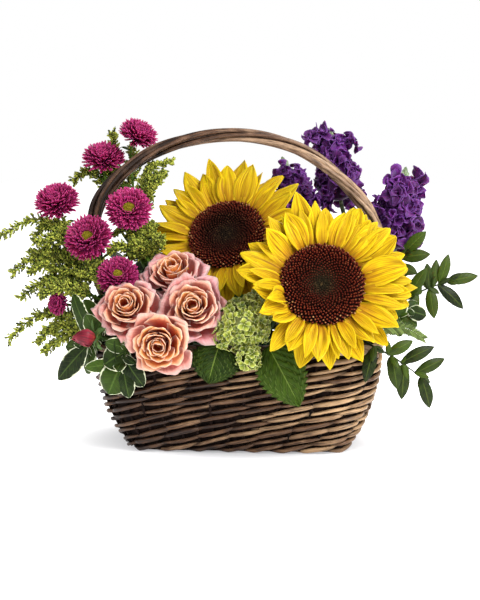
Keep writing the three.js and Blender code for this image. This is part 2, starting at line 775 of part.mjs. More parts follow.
const ASTER_STEMS = [
  { name: "aster_stem_front", spot: [-76, -14], fork: [-103, -26, 140],
    heads: ["aster_front_upper", "aster_front_middle", "aster_front_lower"] },
  { name: "aster_stem_left", spot: [-80, -14], fork: [-112, -20, 130],
    heads: ["aster_left", "aster_low_left"] },
  { name: "aster_stem_back", spot: [-72, 30], fork: [-104, 34, 190],
    heads: ["aster_back_top", "aster_back"] },
];

function addAsterStem(stem) {
  const fork = v(...stem.fork);
  const parts = [];
  stem.heads.forEach((name) => {
    const aster = ASTERS.find((one) => one.name === name);
    const facing = v(...aster.facing).normalize();
    const at = v(...aster.at);
    const cup = loft(stack([[-7.5, 0], [-2, 4], [-0.35, 4]], 6));
    const from = at.clone().addScaledVector(facing, -5);
    parts.push(turned(cup, at, facing));
    parts.push(findBranch(from, facing.clone().negate(), fork, 1.3, name));
  });
  const joint = loft([-2.5, 0, 2.5].map((z, i) => ringAround(
    fork.clone().add(v(0, 0, z)), v(1, 0, 0), v(0, 1, 0), [1.2, 2.2, 1.2][i], 6,
  )));
  parts.push(joint, findStem(fork, v(0.1, 0, -1), stem.spot, 1.7, stem.name));
  addNode(stem.name, oneBody(parts), 0x4d6a2c, 0.75);
}

// ---- Stock: spikes of ruffled florets ----
const STOCKS = [
  { name: "stock_middle", top: [83, 64, 283], foot: [93, 54, 228], radius: 21.5, spot: [66, 26],
    seed: 31, florets: 10 },
  { name: "stock_left", top: [41, 43, 256], foot: [58, 38, 212], radius: 17, spot: [36, 22],
    seed: 32, florets: 8 },
  { name: "stock_right", top: [154, 36, 246], foot: [146, 26, 184], radius: 24, spot: [80, 14],
    seed: 33, florets: 11 },
];

// A floret is a wavy rosette of petals on a short neck.
function stockFloret(size, depth, random) {
  const count = 7;
  const wave = Array.from({ length: count }, () => random() - 0.5);
  const ring = (radius, z, ripple) => Array.from({ length: count }, (_, k) => {
    const angle = 2 * Math.PI * k / count;
    const lift = (k % 2 ? 1 : -1) * ripple + wave[k] * ripple;
    const reach = radius * (k % 2 ? 1 : 0.84);
    return v(reach * Math.cos(angle), reach * Math.sin(angle), z + lift);
  });
  return loft([[v(0, 0, -depth)], ring(size, 1.6, size * 0.2), ring(size * 0.5, 1.8, size * 0.12),
    [v(0, 0, 2.4)]]);
}

function addStockBlooms(stock) {
  const random = seeded(stock.seed);
  const top = v(...stock.top);
  const foot = v(...stock.foot);
  const axis = top.clone().sub(foot);
  const along = axis.clone().normalize();
  const side = sideways(along);
  const other = along.clone().cross(side);
  const thick = stock.radius * 0.42;
  const core = rod([foot, foot.clone().lerp(top, 0.5), foot.clone().lerp(top, 0.96)],
    (t) => thick * mix(1, 0.7, t), 5);
  const makers = Array.from({ length: stock.florets }, (_, k) => {
    const t = (k + 0.5) / stock.florets;
    const angle = k * 2.4 + random() * 0.4;
    const size = stock.radius * mix(0.6, 0.46, t);
    const out = side.clone().multiplyScalar(Math.cos(angle)).addScaledVector(other, Math.sin(angle));
    const reach = stock.radius * mix(0.78, 0.55, t);
    const floret = stockFloret(size, reach * 0.9, random);
    return (bend, shorter) => {
      const at = foot.clone().lerp(top, t).addScaledVector(out, reach * shorter)
        .addScaledVector(along, bend * 8);
      return turned(floret, at, out.clone().addScaledVector(along, 0.35));
    };
  });
  const hollow = rod([foot.clone().addScaledVector(along, -12), top.clone().addScaledVector(along, 4)],
    () => 2 + 2 * SEAT_GAP);
  const whole = grown(core, makers);
  addNode(stock.name + "_blooms", oneBody([whole.subtract(hollow)]), 0x4a1d86, 0.7);
}

function addStockStem(stock) {
  const random = seeded(stock.seed + 50);
  const top = v(...stock.top);
  const foot = v(...stock.foot);
  const along = top.clone().sub(foot).normalize();
  const tip = top.clone().addScaledVector(along, 12);
  const shaft = rod([foot.clone().addScaledVector(along, -9), tip], () => 2);
  const lower = findStem(
    foot.clone().addScaledVector(along, -7), along.clone().negate(), stock.spot, 2, stock.name,
  );
  const side = sideways(along);
  const other = along.clone().cross(side);
  const buds = Array.from({ length: 5 }, (_, k) => {
    const angle = k * 2.4;
    const out = side.clone().multiplyScalar(Math.cos(angle)).addScaledVector(other, Math.sin(angle));
    const lean = mix(0.9, 0.1, k / 4) + random() * 0.1;
    const way = along.clone().addScaledVector(out, lean).normalize();
    return (bend, size) => {
      const at = top.clone().addScaledVector(along, 4 + 2.2 * k).addScaledVector(way, 3.6 * size);
      return bead(at, 3 * size, way);
    };
  });
  addNode(stock.name + "_stem", grown(Manifold.union([shaft, lower]), buds), 0x7f9470, 0.75);
}

// ---- Hydrangea ----
const HYDRANGEA = { at: [8.7, -81.4, 115.8], facing: [0.02, -0.9, 0.44], spot: [8, -46] };
// The head is two rounded clusters: [centre, radius, florets]. The lower one hangs over the rim.
const CLUSTERS = [[[9, -94, 122], 23, 22], [[11, -107, 92], 12, 8]];

// A floret of four rounded petals, with its stalk drawn down to a point inside the head.
function hydrangeaFloret(size, spin, stalk) {
  const ring = (share, z) => Array.from({ length: 8 }, (_, k) => {
    const angle = spin + Math.PI * k / 4;
    const radius = size * share * (k % 2 ? 0.5 : 1);
    return v(radius * Math.cos(angle), radius * Math.sin(angle), z + (k % 2 ? -0.6 : 0.5));
  });
  return loft([[v(0, 0, -stalk)], ring(1, 0), [v(0, 0, 1.5)]]);
}

function addHydrangeaHead() {
  const random = seeded(41);
  const centres = CLUSTERS.map(([centre]) => v(...centre));
  const facing = v(...HYDRANGEA.facing).normalize();
  const cores = CLUSTERS.map(([, radius], i) => turned(
    loft(stack([[-0.6, 0.32], [-0.3, 0.65], [0.3, 0.7], [0.7, 0.35]]
      .map(([z, share]) => [z * radius, share * radius]), 8)),
    centres[i],
    facing,
  ));
  const neck = rod([centres[0], centres[0].clone().lerp(centres[1], 0.5), centres[1]], () => 5, 6);
  const makers = CLUSTERS.flatMap(([, radius, count], i) => Array.from({ length: count }, (_, k) => {
    const z = 1 - 1.35 * (k + 0.5) / count;
    const angle = k * 2.39996;
    const flat = Math.sqrt(1 - z * z);
    const way = v(flat * Math.cos(angle), flat * Math.sin(angle), z);
    const floret = hydrangeaFloret(mix(7, 8, random()), random() * 3, radius * 0.45);
    return (bend, size) => {
      const place = way.clone().multiplyScalar(radius * mix(1, size, 0.6));
      return turned(turned(floret, place, way), centres[i], facing);
    };
  }));
  addNode("hydrangea_florets", grown(Manifold.union([neck, ...cores]), makers), 0xa9bf55, 0.7);
}

const TOOTHED = [[0, 0.2], [0.13, 0.78], [0.2, 0.7], [0.34, 1], [0.41, 0.9], [0.56, 0.92],
  [0.63, 0.76], [0.77, 0.62], [0.83, 0.44], [1, 0]];

function addHydrangeaStem() {
  const at = v(...HYDRANGEA.at);
  const facing = v(...HYDRANGEA.facing).normalize();
  const cup = turned(loft(stack([[-9, 2.4], [-0.35, 7]], 8)), at, facing);
  const from = at.clone().addScaledVector(facing, -7.5);
  const stem = findStem(from, facing.clone().negate(), HYDRANGEA.spot, 2.8, "hydrangea");
  const joint = v(8, -48, 97);
  const stalks = [
    [joint, v(-14, -70, 106), v(-15, -90, 106), v(-13, -97, 102)],
    [joint, v(32, -70, 106), v(35, -90, 105), v(32, -96.5, 101)],
  ];
  const leaves = [
    { root: v(-13, -96, 103), tip: v(-22, -107, 70), wide: 24 },
    { root: v(31, -95.5, 102), tip: v(60, -107, 50), wide: 23 },
  ];
  const makers = [
    ...stalks.map((points) => () => rod(smoothPath(points, 5), () => 1.5, 5)),
    ...leaves.map(({ root, tip, wide }) => (bend, size) => {
      const end = root.clone().lerp(tip, size);
      const way = v(0, -1, 0.35 + bend * 0.3);
      return blade(root, end, way, wide, { profile: TOOTHED, arch: 0.05, cup: -0.1, thick: 1.6 });
    }),
  ];
  addNode("hydrangea_stem", grown(Manifold.union([cup, stem]), makers), 0x2f5f22, 0.6);
}

// ---- Goldenrod: plumes of small beads on arching side branches ----
const GOLDENRODS = [
  { name: "goldenrod_left_top", from: [-128, -24, 172], spot: [-80, -2], seed: 51, plumes: [
    [[-160, -22, 192], [-192, -18, 210], [-225, -20, 194]],
    [[-150, -20, 190], [-168, -14, 206], [-184, -8, 203]],
    [[-150, -26, 186], [-170, -30, 192], [-190, -34, 190]],
  ] },
  { name: "goldenrod_left_middle", from: [-130, -30, 160], spot: [-84, -10], seed: 52, plumes: [
    [[-158, -28, 170], [-186, -26, 178], [-213, -26, 160]],
    [[-156, -22, 176], [-178, -16, 182], [-197, -12, 178]],
    [[-160, -36, 164], [-178, -40, 168], [-194, -42, 163]],
  ] },
  { name: "goldenrod_left_low", from: [-132, -48, 140], spot: [-86, -34], seed: 53, plumes: [
    [[-150, -46, 149], [-178, -44, 155], [-202, -44, 139]],
    [[-146, -54, 146], [-162, -60, 150], [-178, -62, 146]],
    [[-150, -40, 152], [-166, -34, 156], [-182, -32, 153]],
  ] },
  { name: "goldenrod_left_bottom", from: [-128, -50, 118], spot: [-86, -42], seed: 54, plumes: [
    [[-150, -48, 117], [-184, -45, 123], [-213, -49, 100]],
    [[-148, -54, 108], [-164, -56, 102], [-177, -56, 90]],
    [[-150, -42, 120], [-170, -36, 126], [-188, -34, 120]],
  ] },
  { name: "goldenrod_back", from: [-126, 58, 214], spot: [-60, 46], seed: 55, plumes: [
    [[-128, 70, 244], [-130, 72, 270], [-132, 68, 290]],
    [[-138, 52, 238], [-152, 50, 254], [-167, 46, 244]],
    [[-112, 56, 246], [-110, 62, 262], [-114, 64, 276]],
  ] },
  { name: "goldenrod_inner", from: [-88, -14, 214], spot: [-54, 0], seed: 56, plumes: [
    [[-92, -16, 234], [-82, -14, 258], [-64, -14, 265]],
    [[-84, -22, 232], [-76, -24, 246], [-70, -24, 254]],
    [[-94, -8, 236], [-92, 14, 252], [-86, 20, 262]],
  ] },
  { name: "goldenrod_middle", from: [-88, -26, 170], spot: [-60, -20], seed: 57, plumes: [
    [[-90, -30, 186], [-84, -34, 198], [-78, -38, 206]],
    [[-98, -34, 180], [-108, -38, 186], [-119, -38, 184]],
    [[-80, -32, 184], [-74, -40, 190], [-72, -46, 196]],
  ] },
];

const PLUME_STEPS = 8;

function bead(at, size, way) {
  const side = sideways(way);
  const other = way.clone().cross(side);
  return loft([
    [at.clone().addScaledVector(way, -size * 1.25)],
    ringAround(at, side, other, size, 4),
    [at.clone().addScaledVector(way, size * 1.25)],
  ]);
}

// A plume is a string of beads: knobbly, turning as it goes, and thinner towards its tip.
function plume(path, random) {
  const along = tangents(path);
  const rings = path.map((p, i) => {
    const t = i / (path.length - 1);
    const side = sideways(along[i]);
    const other = along[i].clone().cross(side);
    const radius = i % 2 ? mix(5.2, 2.4, t) * mix(0.85, 1.15, random()) : mix(1.6, 0.9, t);
    return ringAround(p, side, other, radius, 4, i * 0.9);
  });
  return loft([...rings, [path.at(-1).clone().addScaledVector(along.at(-1), 2)]]);
}

function addGoldenrod(spray) {
  const random = seeded(spray.seed);
  const from = v(...spray.from);
  const first = v(...spray.plumes[0][0]);
  const leaving = from.clone().sub(first).normalize();
  const stem = findStem(from, leaving, spray.spot, 1.5, spray.name);
  const makers = spray.plumes.map((points) => {
    const seed = Math.floor(1 + 1000 * random());
    return (bend, size) => {
      const bent = points.map((p, i) => v(...p).lerp(from, 1 - size).add(v(0, 12 * bend * i, 0)));
      return plume(smoothPath([from, ...bent], PLUME_STEPS), seeded(seed));
    };
  });
  addNode(spray.name, grown(Manifold.union([stem, bead(from, 2.6, leaving)]), makers), 0x9fae35, 0.8);
}

// ---- Leafy branches ----
// Each leaf is [root, tip, half width]; facing is the way its upper side looks.
const BRANCHES = [
  { name: "pittosporum_low_left", colour: 0x3f5c34, spot: [-85, -38], radius: 1.7,
    line: [[-104, -58, 119], [-105, -80, 120], [-107, -97, 105], [-104, -102, 84]],
    facing: [-0.1, -0.95, 0.3],
    leaves: [
      [[-97, -96, 96], [-116, -101, 85], 11], [[-100, -99, 87], [-112, -104, 59], 12],
      [[-98, -99, 92], [-80, -103, 66], 8], [[-101, -98, 86], [-134, -98, 82], 5.5],
      [[-95, -95, 99], [-115, -98, 105], 6], [[-99, -100, 84], [-93, -106, 56], 7],
    ] },
  { name: "pittosporum_left", colour: 0x35502c, spot: [-85, -26], radius: 1.7,
    line: [[-121, -36, 112], [-131, -60, 110], [-135, -76, 103], [-143, -73, 97]],
    facing: [-0.35, -0.9, 0.25],
    leaves: [
      [[-136, -75, 98], [-164, -70, 66], 8.5], [[-127, -73, 102], [-150, -62, 144], 7],
      [[-122, -74, 103], [-136, -76, 128], 7.5], [[-140, -72, 97], [-158, -60, 96], 6],
      [[-132, -70, 99], [-138, -62, 70], 8],
    ] },
  { name: "pittosporum_right", colour: 0x4d6c42, spot: [84, -30], radius: 1.6,
    line: [[128, -20, 112], [146, -22, 120], [156, -21, 124], [160, -21, 124]],
    facing: [0.3, -0.9, 0.3],
    leaves: [
      [[157, -22, 127], [174, -22, 122], 6.5], [[154, -20, 125], [166, -14, 134], 5.5],
      [[150, -21, 122], [166, -20, 112], 5],
    ] },
  { name: "myrtle_upper", colour: 0x2f4f22, spot: [82, -6], radius: 1.4,
    line: [[118, -26, 114], [140, -19, 128], [164, -8, 140.5], [177, -6, 146.5], [195, -4, 152.5]],
    facing: [0.1, -0.96, 0.25],
    leaves: [
      [[195, -4, 152.5], [223, -2, 158], 5.4], [[187, -5, 150.5], [195, -2, 178], 5.2],
      [[181, -6, 148.5], [184, -1, 173], 4.6], [[177, -6, 146.5], [175, -8, 170], 5],
      [[169, -8, 142.5], [161, -12, 154], 5], [[158, -8, 138], [174, -14, 166], 6],
      [[186, -5, 149], [210, -6, 127], 6],
      [[178, -6, 146], [182, -10, 118], 6], [[166, -8, 141], [157, -14, 117], 5.5],
    ] },
  { name: "myrtle_lower", colour: 0x2c4c20, spot: [78, -40], radius: 1.4,
    line: [[112, -66, 106], [126, -84, 101], [144, -82, 91], [168, -74, 72.5]],
    facing: [0.05, -0.97, 0.25],
    leaves: [
      [[138, -84, 95], [160, -80, 107], 5.5], [[150, -80, 87], [179, -76, 101], 6],
      [[163, -76, 77], [189, -72, 90], 5.5], [[141, -84, 92.5], [146, -88, 64], 6.4],
      [[152, -80, 85], [150, -84, 54], 6.4], [[168, -74, 72.5], [176, -72, 44], 6],
      [[125, -86, 101], [117, -95.5, 71], 6.2],
    ] },
  { name: "myrtle_top_right", colour: 0x4d6e49, spot: [76, 4], radius: 1.4,
    line: [[118, 22, 134], [138, 18, 156], [149, 10, 171], [154, 6, 178], [158, 5, 182]],
    facing: [0.2, -0.9, 0.4],
    leaves: [
      [[155, 5, 180], [174, 2, 199], 6.2], [[152, 4, 174], [178, 0, 178], 6.4],
      [[147, 5, 166], [166, -4, 160], 6], [[142, 16, 160], [126, 22, 178], 5.6],
    ] },
  { name: "greenery_back_left", colour: 0x35532b, spot: [-58, 54], radius: 1.8,
    line: [[-66, 70, 108], [-76, 84, 124], [-84, 90, 140], [-90, 92, 152]],
    facing: [-0.2, 0.9, 0.4],
    leaves: [
      [[-90, 92, 152], [-104, 96, 180], 9], [[-86, 91, 145], [-118, 94, 150], 9],
      [[-84, 90, 141], [-56, 94, 154], 9], [[-79, 86, 131], [-108, 98, 118], 10],
      [[-76, 85, 126], [-46, 98, 116], 10], [[-70, 76, 114], [-66, 104, 90], 11],
    ] },
  { name: "greenery_back_middle", colour: 0x3c5c2e, spot: [6, 56], radius: 1.8,
    line: [[2, 70, 110], [4, 84, 130], [6, 88, 152], [8, 88, 172]],
    facing: [0, 0.92, 0.4],
    leaves: [
      [[8, 88, 172], [14, 90, 204], 10], [[7, 88, 162], [-24, 92, 178], 10],
      [[7, 88, 160], [38, 92, 172], 10], [[5, 86, 142], [34, 98, 132], 11],
      [[4, 82, 126], [-24, 104, 110], 12],
      [[3, 76, 118], [28, 104, 98], 11],
    ] },
  { name: "greenery_back_right", colour: 0x35532b, spot: [62, 54], radius: 1.8,
    line: [[70, 70, 108], [82, 82, 124], [92, 86, 140], [98, 86, 156]],
    facing: [0.2, 0.9, 0.4],
    leaves: [
      [[98, 86, 156], [110, 88, 186], 9], [[95, 87, 148], [126, 86, 160], 9],
      [[94, 87, 145], [66, 94, 158], 9], [[86, 84, 130], [116, 94, 122], 10],
      [[84, 83, 127], [54, 100, 120], 10], [[76, 76, 115], [78, 104, 92], 11],
    ] },
];

function addBranch(branch) {
  const line = branch.line.map((p) => v(...p));
  const path = smoothPath(line, 5);
  const twig = rod(path, (t) => mix(branch.radius, 0.9, t), 4);
  const leaving = path[0].clone().sub(path[1]).normalize();
  const from = path[0].clone().addScaledVector(leaving, -1);
  const stem = findStem(from, leaving, branch.spot, branch.radius, branch.name);
  const facing = v(...branch.facing);
  const makers = branch.leaves.map(([root, tip, wide]) => (
    (bend, size) => {
      const start = v(...root);
      const nearest = path.reduce((a, b) => (a.distanceTo(start) < b.distanceTo(start) ? a : b));
      const end = start.clone().lerp(v(...tip), size);
      const lift = facing.clone().multiplyScalar(bend * start.distanceTo(end));
      return blade(nearest, end.add(lift), facing, wide, { arch: 0.06, cup: 0.12, thick: 1.2 });
    }
  ));
  addNode(branch.name, grown(Manifold.union([twig, stem]), makers), branch.colour, 0.6);
}

// A small fern frond: a midrib with narrow leaflets on both sides.
function addFern() {
  const line = [v(124, -38, 111), v(140, -36, 113), v(158, -32, 109), v(177, -29, 99)];
  const path = smoothPath(line, 7);
  const rib = rod(path, (t) => mix(1.3, 0.8, t), 4);
  const along = tangents(path);
  const from = path[0].clone();
  const leaving = along[0].clone().negate();
  const stem = findStem(from.addScaledVector(leaving, -0.6), leaving, [86, -22], 1.3, "fern");
  const makers = [];
  path.slice(2, -1).forEach((p, i) => {
    for (const sign of [-1, 1]) {
      const side = sideways(along[i + 2], v(0.1, -1, 0.2)).multiplyScalar(sign);
      makers.push((bend, size) => {
        const tip = p.clone().addScaledVector(side, mix(11, 6, i / 5) * size)
          .addScaledVector(along[i + 2], 4);
        tip.y += bend * 8;
        return blade(p, tip, v(0.1, -1, 0.2), 1.6, { thick: 1 });
      });
    }
  });
  addNode("fern_frond", grown(Manifold.union([rib, stem]), makers), 0x5f8752, 0.7);
}

// ---- Building it all, from what keeps its place to what bends clear ----
const WILLOW = 0x4a342a;
addNode("basket_wall", makeWall(), WILLOW, 0.7);
addNode("basket_base", makeBase(), 0x3e2b22, 0.8);
addNode("basket_handle", makeHandle(), 0x6b5140, 0.65);
addNode("basket_border", makeBorder(), 0x4f392d, 0.7);
addNode("liner_tray", makeLiner(), 0x2b3a2c, 0.4);

SUNFLOWERS.forEach(addSunflowerDisc);
addSunflowerPetals(SUNFLOWERS[0]);
ROSES.forEach(addRosePetals);
addBudPetals();
ROSE_STEMS.forEach(addRoseStem);
BRANCHES.forEach(addBranch);
addSunflowerPetals(SUNFLOWERS[1]);
ASTERS.forEach(addAsterPetals);
ASTERS.filter((aster) => aster.centre).forEach(addAsterCentre);
addHydrangeaHead();
STOCKS.forEach(addStockBlooms);
SUNFLOWERS.forEach(addSunflowerStem);
addHydrangeaStem();
STOCKS.forEach(addStockStem);
ASTER_STEMS.forEach(addAsterStem);
addFern();
GOLDENRODS.forEach(addGoldenrod);
addNode("floral_foam", makeFoam(), 0x3f7a4a, 0.95);

export default group;
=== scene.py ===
# %% [markdown]
# # A willow basket of cut flowers
# The real thing is a low basket of dark willow with a fixed arched handle. Every stem stands in a
# block of wet foam, and heads, side sprays and greenery hide that block. The measured solids are
# loaded first. They say where each piece is and how far it reaches, and almost all of them are
# then replaced by finer pieces that keep their form: real rods, petals, florets and leaves. All
# lengths below are in millimetres, and become metres when a mesh is made.

# %% Load the measured solids
import math

import bpy
import numpy as np
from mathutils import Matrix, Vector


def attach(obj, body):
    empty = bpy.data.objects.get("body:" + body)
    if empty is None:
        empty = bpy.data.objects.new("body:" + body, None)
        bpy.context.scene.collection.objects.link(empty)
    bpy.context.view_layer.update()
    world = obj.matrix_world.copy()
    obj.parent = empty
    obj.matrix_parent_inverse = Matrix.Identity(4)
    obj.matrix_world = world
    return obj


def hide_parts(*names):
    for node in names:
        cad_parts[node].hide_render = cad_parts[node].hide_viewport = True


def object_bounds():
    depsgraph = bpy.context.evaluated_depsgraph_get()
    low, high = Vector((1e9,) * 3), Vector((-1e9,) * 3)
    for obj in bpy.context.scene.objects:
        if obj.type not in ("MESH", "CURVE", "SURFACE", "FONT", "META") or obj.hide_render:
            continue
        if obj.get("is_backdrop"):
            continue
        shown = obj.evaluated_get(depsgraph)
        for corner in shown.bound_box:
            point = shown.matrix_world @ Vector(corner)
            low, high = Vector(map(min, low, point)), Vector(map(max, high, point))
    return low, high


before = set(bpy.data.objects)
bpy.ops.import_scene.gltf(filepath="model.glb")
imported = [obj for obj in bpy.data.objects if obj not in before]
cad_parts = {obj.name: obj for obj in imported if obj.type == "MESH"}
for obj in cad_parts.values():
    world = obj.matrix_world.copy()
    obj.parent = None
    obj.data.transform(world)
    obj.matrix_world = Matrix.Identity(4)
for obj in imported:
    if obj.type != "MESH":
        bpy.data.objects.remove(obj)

cad_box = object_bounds()
print("measured box", cad_box)

# %% [markdown]
# ## Camera and light
# The photograph looks at the basket almost level, from a little to the right of its front. A long
# lens from 1.5 m away keeps the flower heads from bulging. The light is soft but has a side: one
# large panel high on the right of the camera, a weaker one on the left, one behind, and a room that
# is white at eye level and dimmer overhead. The dim ceiling keeps the folds between petals dark.

# %% Camera
LOOK_AT = np.array((-1.0, 0.0, 133.0))
AZIMUTH, ELEVATION, DISTANCE = math.radians(4), math.radians(6.5), 1500.0
VIEW_HEIGHT = 570.0
SENSOR = 36.0
MM = 0.001


def towards(azimuth, elevation):
    """The direction from the basket to a point seen at these angles."""
    flat = math.cos(elevation)
    return np.array((math.sin(azimuth) * flat, -math.cos(azimuth) * flat, math.sin(elevation)))


def aimed(kind, name, data, azimuth, elevation, distance):
    """An object that looks at the middle of the basket from these angles."""
    thing = bpy.data.objects.new(name, data)
    bpy.context.scene.collection.objects.link(thing)
    here = LOOK_AT + towards(azimuth, elevation) * distance
    thing.location = here * MM
    thing.rotation_mode = "XYZ"
    thing.rotation_euler = (math.pi / 2 - elevation, 0, azimuth)
    print(kind, name, [round(float(c)) for c in here])
    return thing


lens = bpy.data.cameras.new("camera")
lens.sensor_width = SENSOR
lens.lens = SENSOR * DISTANCE / VIEW_HEIGHT
lens.clip_end = 20
bpy.context.scene.camera = aimed("camera", "camera", lens, AZIMUTH, ELEVATION, DISTANCE)

# %% Panels and room
PANELS = {
    "panel_right": (44, 42, 1400, 0.7, 27.0),
    "panel_left": (-50, 25, 1500, 0.9, 4.0),
    "panel_back": (165, 50, 1500, 0.8, 8.0),
}
for name, (azimuth, elevation, distance, size, power) in PANELS.items():
    panel = bpy.data.lights.new(name, "AREA")
    panel.shape = "SQUARE"
    panel.size = size
    panel.energy = power
    aimed("light", name, panel, math.radians(azimuth), math.radians(elevation), distance)

SKY_STOPS = ((0.14, (1, 1, 1, 1)), (0.42, (0.3, 0.3, 0.31, 1)))
room = bpy.data.worlds.new("white_room")
room.use_nodes = True
sky = room.node_tree.nodes
direction = sky.new("ShaderNodeSeparateXYZ")
fade = sky.new("ShaderNodeValToRGB")
for stop, (height, light) in zip(fade.color_ramp.elements, SKY_STOPS):
    stop.position, stop.color = height, light
room.node_tree.links.new(sky.new("ShaderNodeTexCoord").outputs["Generated"], direction.inputs[0])
room.node_tree.links.new(direction.outputs[2], fade.inputs[0])
room.node_tree.links.new(fade.outputs[0], sky["Background"].inputs["Color"])
bpy.context.scene.world = room
bpy.context.scene.view_settings.view_transform = "Standard"

# %% [markdown]
# ## Sheets and tubes
# Everything here is one of two forms. A petal or leaf is a thin closed sheet: a grid of points
# given a front, a back and an edge. A stem or a willow rod is a tube along a curve. Writing the
# points with numpy and handing them to Blender at once is much quicker than adding thousands of
# small objects, and every piece stays a closed skin. Each point also keeps its place, across and
# along its own petal or rod, as a UV, and a tone that differs from one petal to the next. The
# finishes read both.

# %% Helpers for shapes
def unit(vector):
    vector = np.asarray(vector, float)
    return vector / np.linalg.norm(vector)


def curve_through(points, steps):
    """An even walk along a smooth curve that passes through every point."""
    given = np.array(points, float)
    ends = [2 * given[0] - given[1]], [2 * given[-1] - given[-2]]
    padded = np.vstack((ends[0], given, ends[1]))
    walk = []
    for s in np.linspace(0, len(given) - 1, steps + 1):
        i = min(int(s), len(given) - 2)
        p = padded[i:i + 4]
        knots = np.concatenate(([0], np.cumsum(np.sqrt(np.linalg.norm(np.diff(p, axis=0), axis=1)))))
        t = knots[1] + (s - i) * (knots[2] - knots[1])

        def between(a, b, low, high):
            return (a * (knots[high] - t) + b * (t - knots[low])) / (knots[high] - knots[low])

        a1, a2, a3 = (between(p[k], p[k + 1], k, k + 1) for k in range(3))
        b1, b2 = between(a1, a2, 0, 2), between(a2, a3, 1, 3)
        walk.append(between(b1, b2, 1, 2))
    return np.array(walk)


def placed(points, centre, facing, spin=0.0):
    """Turns points so that their own up looks along facing, and sets them at centre."""
    up = unit(facing)
    across = -unit(np.cross(up, (0, 0.2, 1)))
    other = np.cross(up, across)
    c, s = math.cos(spin), math.sin(spin)
    points = np.asarray(points, float)
    x = points[..., 0:1] * c - points[..., 1:2] * s
    y = points[..., 0:1] * s + points[..., 1:2] * c
    return np.asarray(centre, float) + x * across + y * other + points[..., 2:3] * up


def grid_faces(rows, columns):
    """The faces of a sheet: its front, its back and the strip around its edge."""
    grid = np.arange(rows * columns).reshape(rows, columns)
    front = np.stack((grid[:-1, :-1], grid[:-1, 1:], grid[1:, 1:], grid[1:, :-1]), -1)
    front = front.reshape(-1, 4)
    edge = np.concatenate((grid[0], grid[1:, -1], grid[-1, -2::-1], grid[-2:0:-1, 0]))
    after = np.roll(edge, -1)
    far = rows * columns
    strip = np.stack((after, edge, edge + far, after + far), -1)
    return np.concatenate((front, front[:, ::-1] + far, strip))


